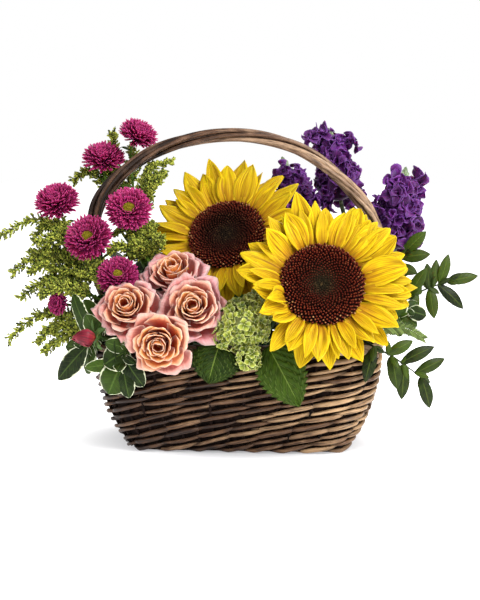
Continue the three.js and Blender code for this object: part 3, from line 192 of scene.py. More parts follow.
class Skin:
    """Gathers closed sheets and tubes, in millimetres, into the mesh of one piece."""

    def __init__(self):
        self.points, self.faces, self.places, self.tones = [], [], [], []
        self.total = 0

    def add(self, points, faces, places, tone):
        self.points.append(points)
        self.faces.extend(np.asarray(face) + self.total for face in faces)
        self.places.append(places)
        self.tones.append(np.full(len(points), float(tone)))
        self.total += len(points)

    def sheet(self, middle, thick=0.5, tone=0.5, bottom=0.0, top=1.0):
        """A closed sheet around a grid of points, thinner towards its two long edges."""
        rows, columns = middle.shape[:2]
        normal = np.cross(np.gradient(middle, axis=1), np.gradient(middle, axis=0))
        normal /= np.linalg.norm(normal, axis=2, keepdims=True) + 1e-9
        across = np.linspace(0, 1, columns)
        half = 0.5 * thick * (1 - 0.6 * np.abs(2 * across - 1) ** 3)[None, :, None]
        points = np.concatenate((middle + normal * half, middle - normal * half)).reshape(-1, 3)
        u, v = np.meshgrid(across, np.linspace(bottom, top, rows))
        places = np.tile(np.stack((u, v), -1).reshape(-1, 2), (2, 1))
        self.add(points, [grid_faces(rows, columns)], places, tone)

    def tube(self, path, radius, sides=8, tone=0.5, squash=1.0, turn=0.0):
        """A closed round rod along a path. radius is one number or one for each point."""
        path = np.asarray(path, float)
        count = len(path)
        radius = np.broadcast_to(np.asarray(radius, float), (count,))
        along = np.gradient(path, axis=0)
        along /= np.linalg.norm(along, axis=1, keepdims=True) + 1e-12
        side = np.cross(along[0], (0.31, 0.95, 0.05))
        angles = 2 * math.pi * np.arange(sides) / sides + turn
        rings = []
        for i in range(count):
            side = unit(side - along[i] * side.dot(along[i]))
            other = np.cross(along[i], side)
            flat = np.cos(angles)[:, None] * side + squash * np.sin(angles)[:, None] * other
            rings.append(path[i] + radius[i] * flat)
        caps = [path[0] - along[0] * radius[0] * 0.3, path[-1] + along[-1] * radius[-1] * 0.3]
        self.capped(np.stack(rings), caps, tone)

    def capped(self, rings, caps, tone):
        """Walls from ring to ring, and a fan of faces to one point at each end."""
        count, sides = rings.shape[:2]
        grid = np.arange(count * sides).reshape(count, sides)
        after = np.roll(grid, -1, axis=1)
        walls = np.stack((grid[:-1], after[:-1], after[1:], grid[1:]), -1).reshape(-1, 4)
        first = np.stack((np.full(sides, grid.size), after[0], grid[0]), -1)
        last = np.stack((np.full(sides, grid.size + 1), grid[-1], after[-1]), -1)
        u, v = np.meshgrid(np.arange(sides) / sides, np.linspace(0, 1, count))
        places = np.concatenate((np.stack((u, v), -1).reshape(-1, 2), ((0.5, 0), (0.5, 1))))
        self.add(np.concatenate((rings.reshape(-1, 3), caps)), [walls, first, last], places, tone)

    def build(self, name, finish, slot, *nodes):
        """Makes the mesh, gives it its finish and hides the measured solids it stands for."""
        points = np.concatenate(self.points) * MM
        places = np.concatenate(self.places)
        corners = np.concatenate([face.ravel() for face in self.faces])
        sizes = np.concatenate([np.full(len(face), face.shape[1]) for face in self.faces])
        mesh = bpy.data.meshes.new(name)
        mesh.vertices.add(len(points))
        mesh.vertices.foreach_set("co", points.ravel())
        mesh.loops.add(len(corners))
        mesh.loops.foreach_set("vertex_index", corners.astype(np.int32))
        mesh.polygons.add(len(sizes))
        starts = np.concatenate(([0], np.cumsum(sizes)[:-1])).astype(np.int32)
        mesh.polygons.foreach_set("loop_start", starts)
        mesh.update(calc_edges=True)
        mesh.uv_layers.new(name="place").data.foreach_set("uv", places[corners].ravel())
        tone = mesh.attributes.new("tone", "FLOAT", "POINT")
        tone.data.foreach_set("value", np.concatenate(self.tones))
        mesh.shade_smooth()
        mesh.materials.append(finish)
        piece = bpy.data.objects.new(name, mesh)
        bpy.context.scene.collection.objects.link(piece)
        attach(piece, "root")
        if nodes:
            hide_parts(*nodes)
        print(name, len(sizes), "faces")
        return piece


# %% [markdown]
# ## Finishes from nodes
# A petal is never one flat colour. Each finish here starts from where a point is on its petal or
# rod, mixes two or three colours by that, breaks them up with noise, and raises a fine relief.
# The small class below only saves typing: each method adds a node and returns its output.

# %% Helpers for finishes
def tint(colour):
    """The linear light that shaders use, from a web code. Linear light stays as it is."""
    if not isinstance(colour, str):
        return colour
    values = [int(colour[i:i + 2], 16) / 255 for i in (1, 3, 5)]
    return (*[v / 12.92 if v <= 0.04045 else ((v + 0.055) / 1.055) ** 2.4 for v in values], 1.0)


class Finish:
    """One material, built node by node."""

    def __init__(self, name, rough=0.5, soft=0.0, sheen=0.0, gloss=0.4, coat=0.0):
        self.material = bpy.data.materials.new(name)
        self.material.use_nodes = True
        self.nodes = self.material.node_tree.nodes
        self.links = self.material.node_tree.links
        self.shader = self.nodes["Principled BSDF"]
        constant = {"Roughness": rough, "Subsurface Weight": soft, "Subsurface Scale": 0.004,
                    "Sheen Weight": sheen, "Specular IOR Level": gloss, "Coat Weight": coat,
                    "Coat Roughness": 0.25}
        for socket, value in constant.items():
            self.shader.inputs[socket].default_value = value

    def node(self, kind, inputs=(), **settings):
        """Adds a node. An input is a number, or the output of another node to link to."""
        made = self.nodes.new(kind)
        for key, value in settings.items():
            setattr(made, key, value)
        for key, value in dict(inputs).items():
            if hasattr(value, "links"):
                self.links.new(value, made.inputs[key])
            else:
                made.inputs[key].default_value = value
        return made

    def place(self):
        """Across and along the petal, each from 0 to 1."""
        split = self.node("ShaderNodeSeparateXYZ", {0: self.node("ShaderNodeUVMap",
                          uv_map="place").outputs[0]})
        return split.outputs[0], split.outputs[1]

    def tone(self):
        return self.node("ShaderNodeAttribute", attribute_name="tone").outputs["Fac"]

    def math(self, operation, a, b=0.0, c=0.0):
        return self.node("ShaderNodeMath", {0: a, 1: b, 2: c}, operation=operation).outputs[0]

    def times(self, a, b):
        return self.math("MULTIPLY", a, b)

    def plus(self, a, b):
        return self.math("ADD", a, b)

    def minus(self, a, b):
        return self.math("SUBTRACT", a, b)

    def off_middle(self, share):
        """0 halfway and 1 at either end of a walk from 0 to 1."""
        return self.math("ABSOLUTE", self.minus(self.times(share, 2), 1))

    def position(self):
        return self.node("ShaderNodeTexCoord").outputs["Object"]

    def noise(self, scale, where=None, detail=3.0):
        inputs = {"Vector": where or self.position(), "Scale": scale, "Detail": detail}
        return self.node("ShaderNodeTexNoise", inputs).outputs["Fac"]

    def grain(self, across, along, own, detail):
        """Fine streaks, stretched along the petal or rod and different on each one."""
        where = self.node("ShaderNodeCombineXYZ", {0: across, 1: along, 2: own}).outputs[0]
        return self.noise(1.0, where, detail)

    def cells(self, scale):
        inputs = {"Vector": self.position(), "Scale": scale}
        return self.node("ShaderNodeTexVoronoi", inputs).outputs["Distance"]

    def ramp(self, value, *stops):
        made = self.node("ShaderNodeValToRGB", {0: value})
        for place, _ in stops[2:]:
            made.color_ramp.elements.new(place)
        for element, (place, _) in zip(made.color_ramp.elements, stops):
            element.position = place
        for element, (_, colour) in zip(made.color_ramp.elements, stops):
            element.color = (colour, colour, colour, 1) if isinstance(colour, float) else tint(colour)
        return made.outputs[0]

    def blend(self, amount, a, b, mode="MIX"):
        made = self.node("ShaderNodeMix", data_type="RGBA", blend_type=mode)
        for index, value in ((0, amount), (6, a), (7, b)):
            if hasattr(value, "links"):
                self.links.new(value, made.inputs[index])
            else:
                made.inputs[index].default_value = tint(value)
        return made.outputs[2]

    def done(self, colour, height=None, strength=0.4, depth=0.3):
        """Sends a colour, and a relief depth millimetres high, to the shader."""
        self.links.new(colour, self.shader.inputs["Base Color"])
        if height is not None:
            bump = self.node("ShaderNodeBump", {"Height": height, "Strength": strength,
                                                "Distance": depth * MM})
            self.links.new(bump.outputs[0], self.shader.inputs["Normal"])
        return self.material


print("helpers ready")

# %% [markdown]
# ## Floor
# The floor is plain and pale. It glows a little, and more so far from the basket, so that it meets
# the white room without a line. Near the basket its colour and its glow both fall to grey, a painted
# soft shadow under the basket.

# %% Floor
HALF_FLOOR, BELOW_BASKET = 6.0, -0.0004
floor_mesh = bpy.data.meshes.new("floor")
corners = [(x * HALF_FLOOR, y * HALF_FLOOR, 0) for x, y in ((-1, -1), (1, -1), (1, 1), (-1, 1))]
floor_mesh.from_pydata(corners, [], [(0, 1, 2, 3)])
floor = bpy.data.objects.new("floor", floor_mesh)
floor.location.z = BELOW_BASKET
bpy.context.scene.collection.objects.link(floor)
paper = Finish("white_paper_floor", rough=0.9, gloss=0.1)
paper.shader.inputs["Emission Strength"].default_value = 1.0
oval = paper.node("ShaderNodeVectorMath", {0: paper.position(), 1: (1 / 0.11, 1 / 0.09, 1)},
                  operation="MULTIPLY").outputs[0]
far_out = paper.node("ShaderNodeVectorMath", {0: oval}, operation="LENGTH").outputs["Value"]
# Painted shadow: near the basket the floor's base colour and glow both drop to grey, far out they reach
# white.
glow_and_painted_shadow = paper.ramp(paper.times(far_out, 0.35), (0.3, (0.4, 0.4, 0.41, 1)), (0.66, 1.0))
paper.links.new(glow_and_painted_shadow, paper.shader.inputs["Emission Color"])
floor_mesh.materials.append(paper.done(glow_and_painted_shadow))
floor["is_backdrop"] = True

# %% [markdown]
# ## The woven wall
# The rods are worked round upright stakes, in front of two and behind the next. So in each row a
# new stroke starts at every second stake, rises slightly to the right and tucks away, and each row
# starts a little further on than the one below. Every stroke is made as a tapered rod that dips
# behind a stake at both ends, and its colour darkens towards both ends as painted shade. The gaps
# between the rows stay open and dark: a skin behind stands for the rods on the inner side, coloured
# near black as painted shade.

# %% The outline of the basket
BASKET_HEIGHT = 93.0


def around(share, z, out=0.0):
    """Points on the outer face. Share 0 to 1 runs anticlockwise from the middle of the right side."""
    share, z, out = np.broadcast_arrays(np.asarray(share, float), z, out)
    flare = 1 - (1 - np.clip(z, 0, BASKET_HEIGHT) / BASKET_HEIGHT) ** 2
    corner = 24 + 10 * flare
    long, deep = 101 + 31 * flare - corner, 68 + 20 * flare - corner
    quarter = long + deep + corner * math.pi / 2
    s = (share % 1) * 4
    q = np.floor(s).astype(int) % 4
    d = (s - np.floor(s)) * quarter
    d = np.where(q % 2 == 1, quarter - d, d)
    bend = np.clip((d - deep) / corner, 0, math.pi / 2)
    x = long + corner * np.cos(bend) - np.clip(d - deep - corner * math.pi / 2, 0, None)
    y = np.minimum(d, deep) + corner * np.sin(bend)
    right = np.array((1, -1, -1, 1))[q]
    back = np.array((1, 1, -1, -1))[q]
    return np.stack(((x + np.cos(bend) * out) * right, (y + np.sin(bend) * out) * back, z), -1)


def closed_ring(skin, rings, tone=0.5):
    """Adds a skin closed both ways, such as a band or a rod that meets its own end."""
    count, sides = rings.shape[:2]
    grid = np.arange(count * sides).reshape(count, sides)
    after, next_ring = np.roll(grid, -1, axis=1), np.roll(grid, -1, axis=0)
    far = np.roll(next_ring, -1, axis=1)
    u, v = np.meshgrid(np.arange(sides) / sides, np.linspace(0, 1, count))
    faces = np.stack((grid, after, far, next_ring), -1).reshape(-1, 4)
    skin.add(rings.reshape(-1, 3), [faces], np.stack((u, v), -1).reshape(-1, 2), tone)


print("rim", around(0.0, 93.0)[0] * 2, "x", -around(0.75, 93.0)[1] * 2, "mm")

# %% Finish for willow
def willow(name, dark, brown, tan, rough=0.42, tucked=True):
    finish = Finish(name, rough=rough, gloss=0.28)
    across, along = finish.place()
    tone = finish.tone()
    streaks = 3 if tucked else 60
    grain = finish.grain(finish.times(across, 9), finish.times(along, streaks),
                         finish.times(tone, 37), 5)
    patch = finish.noise(70)
    mood = finish.plus(finish.times(tone, 0.36), finish.times(patch, 0.55))
    mood = finish.plus(mood, finish.times(grain, 0.36))
    # Painted light: rods grow lighter towards +x, the side the key light comes from, and darker towards
    # -x.
    painted_light_from_right = finish.node("ShaderNodeSeparateXYZ", {0: finish.position()}).outputs[0]
    mood = finish.plus(mood, finish.times(painted_light_from_right, 1.9))
    colour = finish.ramp(mood, (0.34, dark), (0.62, brown), (1.0, tan))
    knots = finish.ramp(finish.cells(110), (0.0, 0.25), (0.09, 1.0))
    colour = finish.blend(0.6, colour, knots, "MULTIPLY")
    colour = finish.blend(0.7, colour, finish.ramp(grain, (0.36, 0.22), (0.5, 1.0)), "MULTIPLY")
    # Painted shade: each stroke darkens towards both ends, where it dips behind a stake.
    if tucked:
        tuck = finish.math("POWER", finish.off_middle(along), 2.4)
        shade = finish.ramp(tuck, (0.25, 1.0), (1.0, 0.08))
        colour = finish.blend(1.0, colour, shade, "MULTIPLY")
    return finish.done(colour, grain, 0.5, 0.5)


wall_willow = willow("willow_strokes", "#2A1A12", "#60442F", "#B6946E")
border_willow = willow("willow_rim_rods", "#26170D", "#5A4230", "#AC9070", tucked=False)
handle_willow = willow("willow_handle_rods", "#24160E", "#604533", "#A4876C", 0.45, tucked=False)
# Painted shade: the skin and stakes behind the strokes are near black, so the gaps between rows read as
# shadow.
shadow = Finish("willow_inside_painted_shade", rough=0.9, gloss=0.1)
painted_shade_inside_willow = shadow.done(shadow.ramp(shadow.noise(160), (0.3, "#0B0706"), (0.8, "#2A1C17")),
                            shadow.noise(300), 0.6, 0.6)
print("willow finishes ready")

# %% Weave the strokes
STAKES, ROWS, ROW_STEP, ROW_DRIFT, WILLOW = 50, 12, 7.62, 0.3, 2.1
luck = np.random.default_rng(11)
weave = Skin()
for row in range(ROWS):
    for stake in range(0, STAKES, 2):
        step = np.linspace(-0.15, 3.15, 15)
        share = (stake + ROW_DRIFT * row + step + luck.uniform(-0.3, 0.3)) / STAKES
        swing = np.tanh(2.6 * (0.55 - np.cos(2 * math.pi * step / 3)))
        rise = 3.0 + luck.uniform(-0.5, 0.5)
        z = 3.9 + ROW_STEP * row + rise * (step - 1.5) + luck.uniform(-0.35, 0.35)
        z = z + 0.35 * np.sin(2 * step + luck.uniform(0, 6))
        path = around(share, np.clip(z, 1.9, 94), -2.4 + luck.uniform(1.75, 2.3) * swing)
        thick = WILLOW * luck.uniform(0.78, 1.18)
        radius = thick * (0.35 + 0.65 * np.sin(math.pi * (step + 0.15) / 3.3) ** 0.7)
        weave.tube(path, radius, 7, luck.uniform(0.05, 1) ** 1.3, 0.9, luck.uniform(0, 1))
weave.build("woven_strokes", wall_willow, "willow_dark", "basket_wall")

backing = Skin()
for j in range(STAKES):
    up = np.linspace(2, 95, 6)
    backing.tube(around((j + 0.02) / STAKES, up, -3.4), 1.5, 6, 0.3)
share = np.arange(264) / 264
profile = [(1.2, -6.6), (1.2, -4.6), (32, -4.8), (64, -4.8), (93, -4.6), (93, -6.6), (50, -6.6)]
closed_ring(backing, np.stack([around(share, z, out) for z, out in profile], 1))
backing.build("stakes_and_inside", painted_shade_inside_willow, "willow_dark")

# %% [markdown]
# ## Border and handle
# At the rim the stakes are bent over and worked into a rolled border: four rods twisted like a
# rope. The handle is a bundle of long smooth rods with a loose twist, pushed down inside the wall
# at both ends. It is fixed. Both are made rod by rod around a centre line, and lower on the right
# leg the rods of the handle stand a little apart.

# %% Border and handle rods
BORDER_RODS, BORDER_TURNS, RIM = 4, 19, 93
border = Skin()
turn = 2 * math.pi * np.arange(7) / 7
for j in range(BORDER_RODS):
    share = np.arange(480) / 480
    angle = -2 * math.pi * (BORDER_TURNS * share + j / BORDER_RODS)
    reach = 2.35 + 0.15 * np.sin(31 * share + j)
    outward = (around(share, RIM, 1) - around(share, RIM, 0)) * np.array((1, 1, 0))
    centre = around(share, 97.6, -2.3) + outward * (reach * np.cos(angle))[:, None]
    centre[:, 2] += reach * np.sin(angle)
    rod = 2.3 + 0.12 * np.sin(2 * math.pi * 7 * share + 2 * j)
    ring = centre[:, None] + rod[:, None, None] * (outward[:, None] * np.cos(turn)[None, :, None]
                                                   + np.array((0, 0, 1)) * np.sin(turn)[None, :, None])
    closed_ring(border, ring, 0.25 + 0.22 * j)
border.build("border_rods", border_willow, "willow_border", "basket_border")

HANDLE_LINE = [(-108.3, 44), (-115.6, 84), (-116.4, 104), (-127, 132), (-138.5, 168),
               (-138.4, 217), (-122.4, 243.3), (-91.6, 268.1), (-57.7, 282.1), (-21.3, 288.7),
               (18, 286.8), (53.9, 276), (84, 256.5), (109, 232.2), (123.4, 209.6),
               (134.5, 168), (127, 132), (116.4, 104), (115.6, 84), (108.3, 44)]
arch = curve_through([(x, 0, z) for x, z in HANDLE_LINE], 260)
way = np.gradient(arch, axis=0)
way /= np.linalg.norm(way, axis=1, keepdims=True)
normal = np.cross(way, (0, 1, 0))
share = np.linspace(0, 1, len(arch))
slim = np.interp(share, (0, 0.5, 1), (1.04, 0.92, 1.04))
loose = 1 + 0.3 * np.exp(-((share - 0.84) / 0.06) ** 2) + 0.08 * np.sin(9 * share)
OUTER_RODS, HANDLE_TURNS = 6, 2.2
handle = Skin()
for j in range(OUTER_RODS + 1):
    angle = 2 * math.pi * (HANDLE_TURNS * share + j / OUTER_RODS) + 0.3 * np.sin(9 * share + 2 * j)
    reach = 4.95 * slim * loose if j < OUTER_RODS else 0.6 * slim
    reach = reach * (1 + 0.06 * np.sin(14 * share + 3 * j))
    offset = normal * np.cos(angle)[:, None] + np.array((0, 1, 0)) * np.sin(angle)[:, None]
    rod = (2.4 - 0.3 * (j % 3 == 1)) * slim * (1 + 0.07 * np.sin(23 * share + 3 * j))
    tone = (0.15, 0.75, 0.4, 0.95, 0.3, 0.6, 0.1)[j]
    handle.tube(arch + offset * np.broadcast_to(reach, share.shape)[:, None], rod, 9, tone)
handle.build("handle_rods", handle_willow, "willow_handle", "basket_handle")

# %% [markdown]
# ## Tray, foam and base
# Inside the wall stands a thin plastic tray with the block of wet foam that holds every stem. Their
# measured shapes are right as they are, and so is that of the woven base under them, so they only
# get finishes: crumbly green foam with fine pores, smooth plastic, and a crossed weave.

# %% Finishes for the pieces that stay
def give(node, material):
    """Puts a finish on a measured solid that is kept."""
    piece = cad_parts[node]
    for place in piece.material_slots:
        place.link = "OBJECT"
        place.material = material


sponge = Finish("wet_foam", rough=0.95, gloss=0.15)
pores = sponge.cells(1400)
foam_colour = sponge.ramp(sponge.noise(90), (0.3, "#1F3D22"), (0.75, "#3E6B37"))
foam_colour = sponge.blend(0.5, foam_colour, sponge.ramp(pores, (0.0, 0.2), (0.5, 1.0)), "MULTIPLY")
give("floral_foam", sponge.done(foam_colour, pores, 0.8, 0.8))

plastic = Finish("tray_plastic", rough=0.35, gloss=0.5)
scuff = plastic.noise(40, detail=6)
tray_colour = plastic.ramp(scuff, (0.3, "#101411"), (0.8, "#20281F"))
give("liner_tray", plastic.done(tray_colour, plastic.noise(500), 0.2, 0.1))

crossed = Finish("base_weave", rough=0.6, gloss=0.3)
bands = crossed.node("ShaderNodeTexWave", {"Vector": crossed.position(), "Scale": 70.0,
                     "Distortion": 1.5}, bands_direction="X").outputs["Fac"]
rows_of_base = crossed.node("ShaderNodeTexWave", {"Vector": crossed.position(), "Scale": 22.0,
                            "Distortion": 1.0}, bands_direction="Y").outputs["Fac"]
lattice = crossed.times(bands, rows_of_base)
base_colour = crossed.ramp(lattice, (0.05, "#140C0A"), (0.5, "#4A342A"), (0.9, "#8A6C58"))
give("basket_base", crossed.done(base_colour, lattice, 0.8, 1.5))
print("kept:", "floral_foam", "liner_tray", "basket_base")

# %% [markdown]
# ## Petals and leaves
# One function draws every petal and leaf: a length, a half width, and an outline that says how
# wide it is at each share of its length. Arch, cup, curl, twist and waves bend it out of its
# plane. A second function sets it in a round, like the spokes of a wheel, and a third lays a leaf
# between its root and its tip. Stems follow the two rules of the measured ones: a side stem runs
# from the back of its head to a fork, and a main stem runs over its hole and down into the foam.

# %% Helpers for petals
LANCE = ((0, 0.3), (0.12, 0.62), (0.3, 0.93), (0.5, 1), (0.68, 0.88), (0.84, 0.58), (0.94, 0.28),
         (1, 0.04))
OVAL = ((0, 0.22), (0.12, 0.6), (0.3, 0.93), (0.5, 1), (0.72, 0.9), (0.88, 0.6), (0.96, 0.34),
        (1, 0.08))
BROAD = ((0, 0.3), (0.25, 0.62), (0.5, 0.92), (0.72, 1), (0.88, 0.86), (0.96, 0.6), (1, 0.3))
STRAP = ((0, 0.5), (0.3, 0.8), (0.65, 1), (0.88, 0.98), (0.97, 0.72), (1, 0.35))


def petal(length, half, outline=OVAL, rows=9, columns=5, arch=0.0, cup=0.0, curl=0.0, twist=0.0,
          wave=0.0, furrow=0.0, start=0.0):
    """A petal that lies along x, with its upper side looking along z."""
    v = np.linspace(0, 1, rows)[:, None]
    s = np.linspace(-1, 1, columns)[None, :]
    width = half * np.interp(v, *np.array(outline).T)
    turn = twist * v ** 1.5
    ripple = wave * np.sin(7 * v + start + 2 * s) * np.abs(s) ** 1.5 * half
    ridges = furrow * np.cos(3 * math.pi * s) * np.sin(math.pi * v ** 0.8)
    z = length * (4 * arch * v * (1 - v) + curl * v ** 3) + cup * width * s ** 2 + ripple + ridges
    x = length * (v - 0.35 * abs(curl) * v ** 4) + 0 * s
    return np.stack((x, width * s * np.cos(turn), z + width * s * np.sin(turn)), -1)


def ray(grid, foot, height, rise, angle, at, facing):
    """Sets a petal in the round of a head, foot out from its middle and rise steep."""
    x = foot + grid[..., 0] * math.cos(rise) - grid[..., 2] * math.sin(rise)
    z = height + grid[..., 0] * math.sin(rise) + grid[..., 2] * math.cos(rise)
    c, s = math.cos(angle), math.sin(angle)
    return placed(np.stack((x * c - grid[..., 1] * s, x * s + grid[..., 1] * c, z), -1), at, facing)


def leaf(root, tip, half, facing, **shape):
    """Lays a leaf from root to tip with its upper side towards facing."""
    root, tip = np.array(root, float), np.array(tip, float)
    length = np.linalg.norm(tip - root)
    along = (tip - root) / length
    side = unit(np.cross(along, facing))
    lift = np.cross(side, along)
    grid = petal(length, half, **shape)
    return root + grid[..., :1] * along + grid[..., 1:2] * side + grid[..., 2:] * lift


def same_chances(seed):
    """The same row of chances that placed the petals of the measured solids."""
    state = seed * 2654435761 % 2 ** 32
    while True:
        state = (state * 1664525 + 1013904223) % 2 ** 32
        yield state / 2 ** 32


def mix(a, b, share):
    return a + (b - a) * share


GOLDEN_ANGLE = 2.399963  # radians, which is 137.5 degrees
FOAM_TOP, STEM_FOOT = 85.0, 39.0
SIDE_BEND, MAIN_BEND = 10, 14  # how far behind its head a stem bends
SHORT_BEND = {"goldenrod_left_middle": 7}
SWAYS = {"goldenrod_left_middle": (0, 20, 8), "goldenrod_left_bottom": (-18, -12, 0),
         "stock_right": (0, 10, 0), "myrtle_upper": (0, -20, 8), "fern_frond": (0, -20, 8)}


def behind(at, facing, back):
    """Where the stem of a head starts, some way behind it, and the direction it leaves in."""
    return np.array(at) - unit(facing) * back, -unit(facing)


def to_fork(start, leaving, fork):
    """The way of a side stem: straight out of its head, round a bend and to the fork."""
    bend = start + leaving * SIDE_BEND
    return start, bend, mix(bend, np.array(fork), 0.55), fork


def to_foam(name, start, leaving, hole):
    """The way of a main stem: out of its head, over its hole, and straight down into the foam.

    A few stems sway aside on the way, because another stem stands there.
    """
    bend = np.array(start) + np.array(leaving) * SHORT_BEND.get(name, MAIN_BEND)
    entry = np.array((*hole, FOAM_TOP + 2))
    above = entry + np.array((0, 0, np.clip((bend[2] - FOAM_TOP) / 2, 5, 22)))
    middle = (bend + above) / 2 + np.array(SWAYS.get(name, (0, 0, 0)))
    return start, bend, middle, above, entry, (*hole, STEM_FOOT)


def add_stem(skin, radius, points, tone):
    """A smooth stem through the points, slightly thicker and thinner along its way."""
    path = curve_through(points, max(12, 5 * len(points)))
    skin.tube(path, radius * (1 + 0.06 * np.sin(np.linspace(0, 18, len(path)))), 9, tone)


def spoke(angle):
    """A level direction at an angle."""
    return np.array((math.cos(angle), math.sin(angle), 0))


def aside(way, angle):
    """A direction square to a stem, at an angle round it."""
    side = unit(np.cross(way, (0.2, 1, 0.1)))
    return side * math.cos(angle) + np.cross(way, side) * math.sin(angle)


def bead(skin, at, way, size, tone=0.5, long=1.3, sides=5):
    """A small bud: a short rod, thick in its middle."""
    at, way = np.array(at, float), unit(way)
    steps = np.array((-1, -0.55, 0.1, 0.7, 1.05)) * long * size
    radius = size * np.array((0.25, 0.85, 1.0, 0.62, 0.12))
    skin.tube(at + steps[:, None] * way, radius, sides, tone)


def spin_solid(skin, outline, centre, facing, sides=20, tone=0.5):
    """A closed turned form: outline holds [height, radius] pairs from below to above."""
    angle = 2 * math.pi * np.arange(sides) / sides
    heights, radii = np.array(outline, float).T
    ring = np.stack((radii[:, None] * np.cos(angle), radii[:, None] * np.sin(angle),
                     np.repeat(heights[:, None], sides, 1)), -1)
    ends = np.array(((0, 0, heights[0]), (0, 0, heights[-1])))
    skin.capped(placed(ring, centre, facing), placed(ends, centre, facing), tone)


print("petal and leaf helpers ready")

# %% Finishes for petals
def petal_finish(name, along_stops, other_stops, rim, vein, vein_share, lines, rough, soft, sheen,
                 relief=0.3, gloss=0.25):
    """Two colour walks from foot to tip, chosen between by each petal's own tone, with fine veins."""
    finish = Finish(name, rough=rough, soft=soft, sheen=sheen, gloss=gloss)
    across, along = finish.place()
    tone = finish.tone()
    cloud = finish.noise(120)
    # Both walks darken towards the petal's foot: partly the petal's own deeper base colour, partly
    # painted shade where petals crowd together in the flower.
    walk = finish.plus(along, finish.times(finish.minus(cloud, 0.5), 0.35))
    colour = finish.blend(tone, finish.ramp(walk, *along_stops), finish.ramp(walk, *other_stops))
    grain = finish.grain(finish.times(across, lines * 3), finish.times(along, 1.6),
                         finish.times(tone, 53), 4)
    stripes = finish.ramp(grain, (0.42, 0.0), (0.62, 1.0))
    colour = finish.blend(finish.times(stripes, vein_share), colour, vein)
    # The pale rim along the sides and tip is partly a paler petal margin and partly a painted highlight
    # where thin edges catch the light.
    sides, tip = finish.math("POWER", finish.off_middle(across), 5), finish.math("POWER", along, 14)
    colour = finish.blend(finish.times(finish.math("MAXIMUM", sides, tip), 0.6), colour, rim)
    return finish.done(colour, grain, 0.45, relief)


sun_petal = petal_finish("sunflower_gold", ((0.0, "#8E5400"), (0.2, "#B88400"), (0.5, "#D0AA00"),
                         (1.0, "#D8B600")), ((0.0, "#744A00"), (0.25, "#A07C00"), (0.6, "#BC9E02"),
                         (0.85, "#B4A20E"), (1.0, "#808620")), "#E4C40E", "#7A4C00", 0.85, 10, 0.55,
                         0.08, 0.03, 0.8, 0.12)
rose_blush = petal_finish("rose_blush", ((0.0, "#641006"), (0.35, "#AA3212"), (0.7, "#D2782C"),
                          (1.0, "#DEA24E")), ((0.0, "#861E1A"), (0.35, "#B04A46"), (0.7, "#C68284"),
                          (1.0, "#D0A4AA")), "#EAD0C4", "#AC3E38", 0.4, 5, 0.5, 0.08, 0.03)
bud_crimson = petal_finish("bud_crimson", ((0.0, "#7A2C18"), (0.3, "#540816"), (1.0, "#3A0412")),
                           ((0.0, "#94402C"), (0.4, "#7C1428"), (1.0, "#640A1E")), "#C04A5A",
                           "#3A0412", 0.75, 4, 0.5, 0.05, 0.0, 0.9)
aster_magenta = petal_finish("aster_magenta", ((0.0, "#200110"), (0.45, "#5E062C"), (1.0, "#820A42")),
                             ((0.0, "#38041A"), (0.45, "#800C40"), (1.0, "#AC2064")), "#C04484",
                             "#5E0636", 0.4, 3, 0.55, 0.1, 0.0)
stock_violet = petal_finish("stock_violet", ((0.0, "#08020C"), (0.45, "#17041F"), (1.0, "#280A36")),
                            ((0.0, "#1C0430"), (0.5, "#340A48"), (1.0, "#5C2478")), "#7E4E9C",
                            "#6C1070", 0.5, 4, 0.55, 0.05, 0.0, 0.5)
hydrangea_lime = petal_finish("hydrangea_lime", ((0.0, "#081002"), (0.35, "#364808"), (1.0, "#868E16")),
                              ((0.0, "#1E3004"), (0.35, "#7C8614"), (1.0, "#D2D85E")), "#ECF0AA",
                              "#3E5A0E", 0.45, 4, 0.6, 0.06, 0.0)
print("petal finishes ready")

# %% Finishes for greens
MARGIN_AT = 0.88


def green_finish(name, dark, light, vein, margin, rough, gloss, side_veins=9, vein_share=0.35,
                 lean=0.22, rib=0.09):
    """A leaf: a pale midrib, side veins that slant to the tip, and a margin where there is one."""
    finish = Finish(name, rough=rough, gloss=gloss, soft=0.03)
    across, along = finish.place()
    tone = finish.tone()
    off = finish.off_middle(across)
    cloud = finish.noise(180, detail=5)
    mood = finish.plus(finish.times(tone, 0.6), finish.times(cloud, 0.5))
    colour = finish.ramp(mood, (0.3, dark), (0.78, light))
    slant = finish.minus(along, finish.times(off, lean))
    comb = finish.math("PINGPONG", finish.times(slant, side_veins), 0.5)
    side = finish.ramp(comb, (0.0, 1.0), (0.1, 0.0))
    colour = finish.blend(0.5, colour, finish.ramp(comb, (0.06, 0.35), (0.35, 1.0)), "MULTIPLY")
    middle = finish.ramp(off, (rib / 3, 1.0), (rib, 0.0))
    veins = finish.math("MAXIMUM", finish.times(side, 0.55), middle)
    colour = finish.blend(finish.times(veins, vein_share), colour, vein)
    if margin:
        ragged = finish.plus(off, finish.times(finish.minus(cloud, 0.5), 0.5))
        rim = finish.ramp(ragged, (MARGIN_AT, 0.0), (MARGIN_AT + 0.05, 1.0))
        colour = finish.blend(rim, colour, margin)
    height = finish.minus(finish.times(cloud, 0.4), veins)
    return finish.done(colour, height, 0.5, 0.4)


